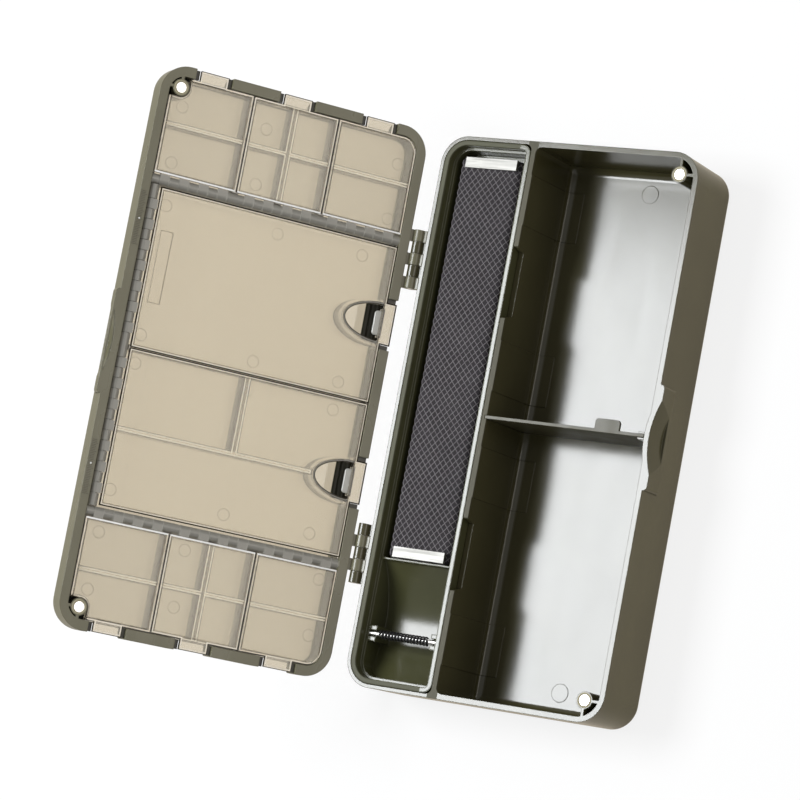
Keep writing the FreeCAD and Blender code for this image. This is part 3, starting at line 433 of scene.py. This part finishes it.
foam_finish, tree, shader, place = new_finish("rig_foam_dark")
cells = add_node(tree, "ShaderNodeTexVoronoi", Scale=2200.0)
tree.links.new(place, cells.inputs["Vector"])
cloud = noise_texture(tree, place, scale=70.0, detail=3.0)
tree.links.new(two_tone(tree, cloud, (0.016, 0.013, 0.016), (0.027, 0.023, 0.027)), shader.inputs["Base Color"])
shader.inputs["Roughness"].default_value = 0.9
shader.inputs["Sheen Weight"].default_value = 0.15
tree.links.new(bumped(tree, cells.outputs["Distance"], strength=0.6, distance=0.0002), shader.inputs["Normal"])
foam = add_piece("foam_body", *block_shell(foam_low, foam_high, foam_pitch, foam_point), foam_finish)
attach(foam, "insert_tray")
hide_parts("foam_pad")

# The net over the foam: fine pale strands crossed on the bias, pulled round the foam's long edges,
# that keep pinned rigs from tearing out. Its ends are tucked under the bars.
strand_gap = 0.0029
strand_width = 0.00018
strand_height = 0.00016
strand_step = 0.0012
strand_sides = 5
strand_lift = 1.1
strand_weave = 0.5
strand_unevenness = 0.05
net_stretch = 1.16
net_down_side = 0.0035
net_end_inset = 0.0012
net_round = foam_edge * math.pi / 2
net_flat = foam_half - foam_edge
net_reach = net_flat + net_round + net_down_side


def net_point(across, along, lift):
    # across is measured on the foam's surface from its middle line, round the edge and down the side
    side = 1 if across > 0 else -1
    reach = abs(across)
    if reach <= net_flat:
        x, drop, tilt = reach, 0.0, 0.0
    elif reach <= net_flat + net_round:
        tilt = (reach - net_flat) / foam_edge
        x = net_flat + foam_edge * math.sin(tilt)
        drop = foam_edge * (1 - math.cos(tilt))
    else:
        tilt = math.pi / 2
        x = foam_half
        drop = foam_edge + reach - net_flat - net_round
    normal = Vector((side * math.sin(tilt), 0, math.cos(tilt)))
    top = foam_high.z - foam_crown * (x / foam_half) ** 2
    return Vector((foam_middle + side * x, along, top - drop)) + normal * lift, normal


def strand_path(start, slope, low, high):
    # one strand's line over the foam, lifted and sunk where it crosses the strands of the other slope
    steps = int(2 * net_reach / strand_step)
    path = []
    for n in range(steps + 1):
        across = -net_reach + 2 * net_reach * n / steps
        along = start + slope * net_stretch * across
        if low <= along <= high:
            crossing = math.cos(math.pi * 2 * across / strand_gap / math.sqrt(2))
            path.append(net_point(across, along, strand_height * (strand_lift + strand_weave * slope * crossing)))
    return path


def net_strands():
    points = []
    faces = []
    low = foam_low.y + net_end_inset
    high = foam_high.y - net_end_inset
    pitch_along = strand_gap * math.sqrt(2) * net_stretch
    shaker = random.Random(4)
    for slope in (1, -1):
        start = low - 3 * net_reach
        while start < high + 3 * net_reach:
            start += pitch_along * (1 + strand_unevenness * shaker.uniform(-1, 1))
            path = strand_path(start, slope, low, high)
            if len(path) < 3:
                continue
            first = len(points)
            for n, (point, normal) in enumerate(path):
                before = path[max(n - 1, 0)][0]
                after = path[min(n + 1, len(path) - 1)][0]
                side = normal.cross((after - before).normalized())
                for m in range(strand_sides):
                    turn = 2 * math.pi * m / strand_sides
                    points.append(point + side * (strand_width * math.cos(turn))
                                  + normal * (strand_height * math.sin(turn)))
            for n in range(len(path) - 1):
                for m in range(strand_sides):
                    a = first + n * strand_sides + m
                    b = first + n * strand_sides + (m + 1) % strand_sides
                    faces.append((a, b, b + strand_sides, a + strand_sides))
            faces.append([first + m for m in reversed(range(strand_sides))])
            faces.append([len(points) - strand_sides + m for m in range(strand_sides)])
    return points, faces


net_finish, tree, shader, place = new_finish("net_strand_grey")
shine = noise_texture(tree, place, scale=300.0, detail=2.0)
tree.links.new(two_tone(tree, shine, (0.19, 0.175, 0.185), (0.30, 0.28, 0.29)), shader.inputs["Base Color"])
shader.inputs["Roughness"].default_value = 0.45
net = add_piece("foam_net", *net_strands(), net_finish)
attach(net, "insert_tray")


# The lid's frame: a ring of the same olive plastic, coloured lighter than the base's as painted
# light, with a ledge that the clear trays lie on, and a notch in its wall for each cover's tab.
# The notch has a low shelf at both ends of the tab, near black with painted shade.
dress("lid_frame", olive_moulding("lid_olive_painted_light", (0.124, 0.116, 0.070), (0.149, 0.140, 0.087),
                                  smooth=0.24, rough=0.36, grain=0.15, edge=0.0006))


def block(xs, ys, zs):
    points = [Vector((x, y, z)) for z in sorted(zs) for y in sorted(ys) for x in sorted(xs)]
    faces = [(0, 2, 3, 1), (4, 5, 7, 6), (0, 1, 5, 4), (2, 6, 7, 3), (0, 4, 6, 2), (1, 3, 7, 5)]
    return points, faces


def gathered(parts):
    points = []
    faces = []
    for more_points, more_faces in parts:
        faces += [[n + len(points) for n in face] for face in more_faces]
        points += more_points
    return points, faces


row_tab_middles = (-0.05455, 0.00035, 0.0551)
row_shelf_reach = (0.00915, 0.0122)
row_shelf_depth = (0.1638, 0.1694)
big_tab_middles = (0.0483, -0.0495)
big_shelf_reach = (0.0129, 0.01595)
big_shelf_depth = (-0.0870, -0.0815)
shelf_z = (0.0524, 0.0536)
# the shelves' near-black olive is painted shade
notch_shelf_shade = olive_moulding("notch_shelf_shade", (0.016, 0.015, 0.009), (0.024, 0.022, 0.014), smooth=0.3, rough=0.42,
                             grain=0.15)
shelves = [block([middle + way * reach for reach in row_shelf_reach], [side * y for y in row_shelf_depth], shelf_z)
           for side in (1, -1) for middle in row_tab_middles for way in (1, -1)]
shelves += [block(big_shelf_depth, [middle + way * reach for reach in big_shelf_reach], shelf_z)
            for middle in big_tab_middles for way in (1, -1)]
points, faces = gathered(shelves)
notch_shelves = add_piece("notch_shelves", [lid_turn @ point for point in points], faces, notch_shelf_shade, smooth=False)
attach(notch_shelves, "lid")


# The lid's corner behind each magnet post is deep and lies in shade. A web of the moulding closes it
# off from the clear tray beside it, in the shape of an L round the post, near black with painted shade.
def stacked(layers):
    # a closed solid through outlines of one count, with a face over the first and the last
    size = len(layers[0])
    points = [point for layer in layers for point in layer]
    last = len(points) - size
    faces = [tuple(range(size)), tuple(range(last + size - 1, last - 1, -1))]
    for first in range(0, last, size):
        for n in range(size):
            a, b = first + n, first + (n + 1) % size
            faces.append((a, a + size, b + size, b))
    return points, faces


web_x = (0.0694, 0.0749, 0.0816)
web_y = (0.1512, 0.1567, 0.1634)
web_z = (0.0552, 0.0558)
corner_shade_olive = olive_moulding("corner_painted_shade", (0.004, 0.004, 0.003), (0.009, 0.009, 0.006), smooth=0.5, rough=0.6,
                            grain=0.1, gloss=1.2)
for side, end in ((1, "a"), (-1, "b")):
    outline = [(web_x[0], web_y[1]), (web_x[1], web_y[1]), (web_x[1], web_y[0]),
               (web_x[2], web_y[0]), (web_x[2], web_y[2]), (web_x[0], web_y[2])]
    points, faces = stacked([[lid_turn @ Vector((x, side * y, z)) for x, y in outline] for z in web_z])
    corner_floor = add_piece(f"lid_corner_floor_{end}", points, faces, corner_shade_olive, smooth=False)
    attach(corner_floor, "lid")


# Two measuring scales are moulded on the front rim of the lid, as fine ribs a millimetre apart with
# every fifth one longer, and a small white dot at the middle of each marks where to read from.
def domed_disc(centre, profile, count):
    # rings of (radius, height) from the hidden face to the domed one, closed at both ends
    points = [around(centre, radius, height, 2 * math.pi * n / count)
              for radius, height in profile for n in range(count)]
    faces = []
    for ring in range(len(profile) - 1):
        for n in range(count):
            a = ring * count + n
            b = ring * count + (n + 1) % count
            faces.append((a, a + count, b + count, b))
    first = len(points)
    points += [around(centre, 0, profile[0][1], 0), around(centre, 0, profile[-1][1] - dot_tip, 0)]
    last_ring = (len(profile) - 1) * count
    for n in range(count):
        faces.append((first, n, (n + 1) % count))
        faces.append((first + 1, last_ring + (n + 1) % count, last_ring + n))
    return points, faces


dot_profile = [(0.00058, 0.0002), (0.00058, -0.00006), (0.00048, -0.00012), (0.00026, -0.00015)]
dot_tip = 0.00002
dot_x = 0.0849
scale_pitch = 0.001
scale_ribs = 33
rib_width = 0.00034
rib_z = (lid_rim_z - 0.00012, lid_rim_z + 0.0002)
rib_from = 0.0838
long_rib_from = 0.0829
long_rib_every = 5
rib_to = 0.0868
scale_olive = olive_moulding("scale_olive", (0.055, 0.050, 0.029), (0.075, 0.069, 0.042), smooth=0.3, rough=0.42,
                             grain=0.15)
white_dot, tree, shader, place = new_finish("dot_white_paint")
cloud = noise_texture(tree, place, scale=900.0, detail=2.0)
tree.links.new(two_tone(tree, cloud, (0.74, 0.74, 0.72), (0.82, 0.82, 0.80)), shader.inputs["Base Color"])
shader.inputs["Roughness"].default_value = 0.5
for end, start_y, dot_y in (("a", 0.059, 0.0745), ("b", -0.091, -0.073)):
    ribs = []
    for n in range(scale_ribs):
        y = start_y + n * scale_pitch
        xs = (rib_from if n % long_rib_every else long_rib_from, rib_to)
        ribs.append(block(xs, (y - rib_width / 2, y + rib_width / 2), rib_z))
    points, faces = gathered(ribs)
    scale = add_piece(f"rim_scale_{end}", [lid_turn @ point for point in points], faces, scale_olive, smooth=False)
    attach(scale, "lid")
    points, faces = domed_disc((dot_x, dot_y, lid_rim_z), dot_profile, 24)
    dot = add_piece(f"scale_dot_{end}", [lid_turn @ point for point in points], faces, white_dot)
    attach(dot, "lid")


# The clear mouldings: cell trays, flip covers and the rails that hinge them, in a see-through
# plastic with a light smoke-beige tint. Walls across the lid and the edges are darkened with painted shade.
lid_along = (lid_turn.to_3x3() @ Vector((1, 0, 0))).normalized()
lid_normal = (lid_turn.to_3x3() @ Vector((0, 0, 1))).normalized()


def clear_moulding(name, tint, clearness, rough, ripple, wall_shade=None, line=None, barrels=None):
    # the wall colour is painted shade on what stands across the lid and the line colour is painted
    # shade along the edges, and both are the tint where not given; barrels says along which way and
    # between which lengths a cover's hinge barrels lie
    finish, tree, shader, place = new_finish(name)
    shader.inputs["Transmission Weight"].default_value = clearness
    shader.inputs["IOR"].default_value = 1.49
    cloud = noise_texture(tree, place, scale=40.0, detail=3.0)
    tree.links.new(uneven(tree, cloud, rough * 0.5, rough), shader.inputs["Roughness"])
    wave = noise_texture(tree, place, scale=90.0, detail=1.0)
    tree.links.new(bumped(tree, wave, ripple, distance=0.0002), shader.inputs["Normal"])
    normal = tree.nodes.new("ShaderNodeTexCoord").outputs["Normal"]
    level = math_node(tree, "ABSOLUTE", vector_node(tree, "DOT_PRODUCT", normal, lid_normal))
    colour = colour_mix(tree, spread(tree, level, 0.75, 0.25, 0.0, 1.0), tint, wall_shade or tint)
    # close to an edge the rounded normal leaves the face's own normal, which draws a thin line of
    # painted shade
    rounded = add_node(tree, "ShaderNodeBevel", Radius=0.0005)
    rounded.samples = 4
    own_normal = tree.nodes.new("ShaderNodeNewGeometry").outputs["Normal"]
    apart = vector_node(tree, "DOT_PRODUCT", rounded.outputs[0], own_normal)
    colour = colour_mix(tree, spread(tree, apart, 0.985, 0.8, 0.0, 1.0), colour, line or tint)
    if barrels:
        # the barrels are as grey as the rail that they turn in
        way, near, far = barrels
        reach = math_node(tree, "ABSOLUTE", vector_node(tree, "DOT_PRODUCT", place, way))
        there = math_node(tree, "MULTIPLY", math_node(tree, "GREATER_THAN", reach, near),
                          math_node(tree, "LESS_THAN", reach, far))
        colour = colour_mix(tree, there, colour, rail_tint)
        tree.links.new(spread(tree, there, 0.0, 1.0, clearness, rail_clearness), shader.inputs["Transmission Weight"])
    tree.links.new(colour, shader.inputs["Base Color"])
    return finish


smoke_tint = (0.81, 0.777, 0.694)
# the row trays take a darker copy of the smoke tint: painted shade
row_tray_shaded_tint = (0.73, 0.705, 0.635)
rail_tint = (0.33, 0.32, 0.285)
rail_clearness = 0.25
# a painted shade for the walls across the lid and a darker painted shade along every edge
painted_edge_shades = {"wall_shade": (0.38, 0.375, 0.35), "line": (0.22, 0.18, 0.12)}
row_barrels = ((0, 1, 0), 0.0969, 0.10345)
front_barrels = (lid_along, *(lid_along.dot(lid_turn @ Vector((x, 0, 0.05))) for x in (0.0752, 0.082)))
row_tray_names = ("cell_tray_a", "cell_tray_b")
tray_names = (*row_tray_names, "cell_tray_centre")
row_cover_names = [f"row_{end}_cover_{place}" for end in "ab" for place in ("back", "middle", "front")]
big_cover_names = ("big_cover_1", "big_cover_2")
for names, finish in (
        (("cell_tray_centre",), clear_moulding("tray_clear", smoke_tint, 0.93, rough=0.03, ripple=0.004, **painted_edge_shades)),
        (row_tray_names, clear_moulding("row_tray_clear_shaded", row_tray_shaded_tint, 0.93, rough=0.03, ripple=0.004, **painted_edge_shades)),
        (row_cover_names, clear_moulding("row_cover_clear", smoke_tint, 0.93, rough=0.015, ripple=0.003,
                                         barrels=row_barrels, **painted_edge_shades)),
        (big_cover_names, clear_moulding("big_cover_clear", smoke_tint, 0.93, rough=0.015, ripple=0.003,
                                         barrels=front_barrels, **painted_edge_shades)),
        (("rail_a", "rail_b", "rail_front"),
         clear_moulding("rail_clear", rail_tint, rail_clearness, rough=0.12, ripple=0.004))):
    for name in names:
        dress(name, finish)
        nodes[name].visible_shadow = False


# The lips of the cells and the rims of the covers are crisp moulded edges, drawn as a pale
# bead of painted highlight with a dark line of painted shade beside it. Each is a thin band set
# along the edge of its own piece.
cover_face_z = 0.05035
cover_mark_z = 0.0521
cell_lip_z = 0.05215
row_cover_edge = 0.10375
big_cover_edge = 0.07475
same_height = 0.00002
same_spot = 0.000005


def level_loops(name, height):
    # the closed outlines of a node's level faces at one height of the closed lid, largest first,
    # and which side of them the faces lie on
    closed = lid_turn.inverted()
    mesh = nodes[name].data
    spots = [closed @ vertex.co for vertex in mesh.vertices]
    keys = [(round(spot.x, 6), round(spot.y, 6)) for spot in spots]
    edges = {}
    for polygon in mesh.polygons:
        ring = list(polygon.vertices)
        if all(abs(spots[n].z - height) < same_height for n in ring):
            for a, b in zip(ring, ring[1:] + ring[:1]):
                edges[keys[a], keys[b]] = True
    border = {}
    for a, b in edges:
        if (b, a) not in edges and a != b:
            border.setdefault(a, []).append(b)
    loops = []
    while border:
        start = next(iter(border))
        loop = [start]
        while loop[-1] in border:
            onward = border[loop[-1]].pop()
            if not border[loop[-1]]:
                del border[loop[-1]]
            if onward == start:
                break
            loop.append(onward)
        if len(loop) > 2:
            loops.append(loop)
    loops.sort(key=loop_size, reverse=True)
    turned = sum(a[0] * b[1] - a[1] * b[0] for a, b in zip(loops[0], loops[0][1:] + loops[0][:1]))
    return loops, (1 if turned > 0 else -1)


def loop_size(loop):
    xs, ys = zip(*loop)
    return (max(xs) - min(xs)) * (max(ys) - min(ys))


def straightened(loop, name):
    # a cover's outline without the lugs that carry its hinge barrels
    line = []
    for x, y in loop:
        if name in row_cover_names:
            y = math.copysign(max(abs(y), row_cover_edge), y)
        else:
            x = min(x, big_cover_edge)
        if not line or math.dist(line[-1], (x, y)) > same_spot:
            line.append((x, y))
    if math.dist(line[0], line[-1]) < same_spot:
        line.pop()
    return line


def edging(loop, side, near, far, low, high, closed=True):
    # a band between two distances inside an outline and between two heights
    points = []
    faces = []
    count = len(loop)
    for n in range(count):
        here = Vector(loop[n])
        before = Vector(loop[n - 1]) if closed or n else here * 2 - Vector(loop[1])
        after = Vector(loop[(n + 1) % count]) if closed or n < count - 1 else here * 2 - Vector(loop[n - 1])
        come = (here - before).normalized()
        go = (after - here).normalized()
        inward = side * (Vector((-come.y, come.x)) + Vector((-go.y, go.x)))
        # the band keeps its width round a corner, but no spike grows on a sharp one
        inward /= max(0.4, 1 + come.dot(go))
        for reach, z in ((near, low), (far, low), (far, high), (near, high)):
            spot = here + inward * reach
            points.append(Vector((spot.x, spot.y, z)))
    for n in range(count if closed else count - 1):
        here, following = 4 * n, 4 * ((n + 1) % count)
        for m in range(4):
            faces.append((here + m, here + (m + 1) % 4, following + (m + 1) % 4, following + m))
    if not closed:
        faces += [(0, 1, 2, 3), (4 * count - 1, 4 * count - 2, 4 * count - 3, 4 * count - 4)]
    return points, faces


def edge_finish(name, dark, light, rough, clearness=0.0, gloss=1.5):
    finish, tree, shader, place = new_finish(name)
    cloud = noise_texture(tree, place, scale=260.0, detail=3.0)
    tree.links.new(two_tone(tree, cloud, dark, light), shader.inputs["Base Color"])
    tree.links.new(uneven(tree, cloud, rough, rough * 1.5), shader.inputs["Roughness"])
    shader.inputs["Transmission Weight"].default_value = clearness
    shader.inputs["IOR"].default_value = gloss
    return finish


def add_edging(name, bands, body, finish):
    points, faces = gathered(bands)
    piece = add_piece(name, [lid_turn @ point for point in points], faces, finish, smooth=False)
    piece.visible_shadow = False
    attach(piece, body)


painted_shade_line = edge_finish("edge_painted_shade", (0.012, 0.009, 0.006), (0.030, 0.024, 0.015), rough=0.3, gloss=1.1)
groove_shade_line = edge_finish("groove_painted_shade", (0.11, 0.09, 0.06), (0.16, 0.135, 0.095), rough=0.3)
lip_shade_line = edge_finish("lip_shade_line", (0.045, 0.036, 0.024), (0.075, 0.062, 0.044), rough=0.3)
painted_highlight_bead = edge_finish("bead_painted_highlight", (0.84, 0.77, 0.64), (0.93, 0.87, 0.76), rough=0.25, clearness=0.1)
lip_highlight_bead = edge_finish("lip_painted_highlight", (0.88, 0.85, 0.77), (0.96, 0.93, 0.86), rough=0.25, clearness=0.1)
lit_edge = edge_finish("rail_side_painted_highlight", (0.93, 0.93, 0.91), (0.98, 0.98, 0.97), rough=0.2)
mark_line = edge_finish("ejector_mark_line", (0.27, 0.24, 0.18), (0.36, 0.32, 0.25), rough=0.3, clearness=0.2)
thumb_wall_shade = edge_finish("thumb_wall_painted_shade", (0.16, 0.15, 0.125), (0.25, 0.24, 0.21), rough=0.16)
face_z = (cover_face_z - 0.00005, cover_face_z + 0.00002)
mark_z = (cover_mark_z - 0.00001, cover_mark_z + 0.00003)
lit_edge_z = (face_z[0] - 0.00004, face_z[0] - 0.00001)
row_line = (-0.0001, 0.00032)
big_line = (-0.0002, 0.00055)
line_to_bead = 0.0001
bead_to = 0.00125
lit_edge_band = (0.0001, 0.0011)
lit_edge_inset = 0.0004
groove_band = (0.00001, 0.0002)
least_groove = 0.00002
mark_band = (0.0, 0.0002)
for name in [*row_cover_names, *big_cover_names]:
    loops, side = level_loops(name, cover_face_z)
    outline = straightened(loops[0], name)
    line = row_line if name in row_cover_names else big_line
    add_edging(f"{name}_edge_line", [edging(outline, side, *line, *face_z)], name, painted_shade_line)
    add_edging(f"{name}_edge_highlight", [edging(outline, side, line[1] + line_to_bead, bead_to, *face_z)],
               name, painted_highlight_bead)
    # each row cover has a white band of painted highlight along its rail side
    if name in row_cover_names:
        xs, ys = zip(*outline)
        way = 1 if ys[0] > 0 else -1
        lit_edge_block = block((min(xs) + lit_edge_inset, max(xs) - lit_edge_inset),
                               [way * (row_cover_edge + reach) for reach in lit_edge_band], lit_edge_z)
        add_edging(f"{name}_rail_side_highlight", [lit_edge_block], name, lit_edge)
    # the grooves in each cover are drawn with a fine line of painted shade
    grooves = [loop for loop in loops[1:] if loop_size(loop) > least_groove]
    if grooves:
        add_edging(f"{name}_groove_shade_band", [edging(loop, side, *groove_band, *face_z) for loop in grooves],
                   name, groove_shade_line)
    marks, side = level_loops(name, cover_mark_z)
    add_edging(f"{name}_marks", [edging(loop, side, *mark_band, *mark_z) for loop in marks], name, mark_line)

# Each big cover has a thumb notch in its face, an arch drawn as a grey band of painted shade
# between two dark lines of painted shade.
thumb_x = -0.0792
thumb_reach = 0.024
thumb_half = 0.011
thumb_lines = ((0.00002, 0.0005), (0.0013, 0.00148))
thumb_shade_band = (0.00055, 0.00125)
for name, middle in zip(big_cover_names, big_tab_middles):
    arch = [(thumb_x + thumb_reach * math.cos(angle), middle + thumb_half * math.sin(angle))
            for angle in (math.radians(step) for step in range(-87, 88, 3))]
    add_edging(f"{name}_thumb_line", [edging(arch, -1, *band, *face_z, closed=False) for band in thumb_lines],
               name, painted_shade_line)
    add_edging(f"{name}_thumb_shade_band", [edging(arch, -1, *thumb_shade_band, *face_z, closed=False)], name, thumb_wall_shade)

# The lips of the clear cells stand just under the covers, drawn as a line of painted shade and a
# bead of painted highlight round each cell. The largest outline is the tray's own rim, whose bead
# is a little thinner.
lip_top = cell_lip_z + 0.00002
lip_line_from = cell_lip_z - 0.0001
lip_bead_from = cell_lip_z - 0.00008
rim_bead_from = cell_lip_z - 0.00006
lip_line_band = (0.00002, 0.00035)
lip_bead_band = (0.00042, 0.00118)
least_cell = 0.00003
for name in tray_names:
    loops, side = level_loops(name, cell_lip_z)
    loops = [loop for loop in loops if loop_size(loop) > least_cell]
    add_edging(f"{name}_lip_shade_line", [edging(loop, side, *lip_line_band, lip_line_from, lip_top) for loop in loops],
               "lid", lip_shade_line)
    add_edging(f"{name}_lip_highlight_bead", [edging(loop, side, *lip_bead_band, rim_bead_from if loop is loops[0] else
                                           lip_bead_from, lip_top) for loop in loops], "lid", lip_highlight_bead)


# A fingertip reaches each big cover through its thumb notch: behind it lies a bar of the lid's
# moulding across the well, near black with painted shade, and in front of that the pale pad of
# the cover's snap catch.
bar_profile = ((-0.0812, 0.0563), (-0.0792, 0.0562), (-0.0789, 0.0551), (-0.0779, 0.0547),
               (-0.0762, 0.0546), (-0.0748, 0.0551), (-0.0735, 0.0553), (-0.0718, 0.0548),
               (-0.0704, 0.0550), (-0.0696, 0.0556), (-0.0696, 0.0561), (-0.0788, 0.0562),
               (-0.0812, 0.0569))
bar_half = 0.0118
bar_widening = 0.09
bar_narrow_x = -0.0704
pad_half = 0.0075
pad_x = (-0.0791, -0.0754)
pad_corner = 0.0018
pad_corner_steps = 6
pad_layers = ((0.0530, 0.94), (0.0533, 1.0), (0.0542, 1.0))
bar_shade_olive = olive_moulding("thumb_bar_painted_shade", (0.007, 0.007, 0.004), (0.016, 0.015, 0.009), smooth=0.08, rough=0.16,
                           grain=0.1, edge=0.0002, gloss=1.25)
pad_clear = edge_finish("catch_pad_pale", (0.60, 0.60, 0.56), (0.70, 0.70, 0.66), rough=0.2, clearness=0.3)
for name, middle in zip(big_cover_names, big_tab_middles):
    points, faces = stacked([[lid_turn @ Vector((x, middle + way * (bar_half + bar_widening * (bar_narrow_x - x)), z))
                              for x, z in bar_profile] for way in (-1, 1)])
    thumb_bar = add_piece(f"{name}_thumb_bar", points, faces, bar_shade_olive, smooth=False)
    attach(thumb_bar, "lid")
    outline = [(pad_x[0], -pad_half)]
    for way, start in ((-1, -90), (1, 0)):
        for step in range(pad_corner_steps + 1):
            angle = math.radians(start + 90 * step / pad_corner_steps)
            outline.append((pad_x[1] - pad_corner + pad_corner * math.cos(angle),
                            way * (pad_half - pad_corner) + pad_corner * math.sin(angle)))
    outline.append((pad_x[0], pad_half))
    points, faces = stacked([[lid_turn @ Vector((pad_x[0] + (x - pad_x[0]) * width, middle + y * width, z))
                              for x, y in outline] for z, width in pad_layers])
    pad = add_piece(f"{name}_catch_pad", points, faces, pad_clear, smooth=False)
    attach(pad, name)
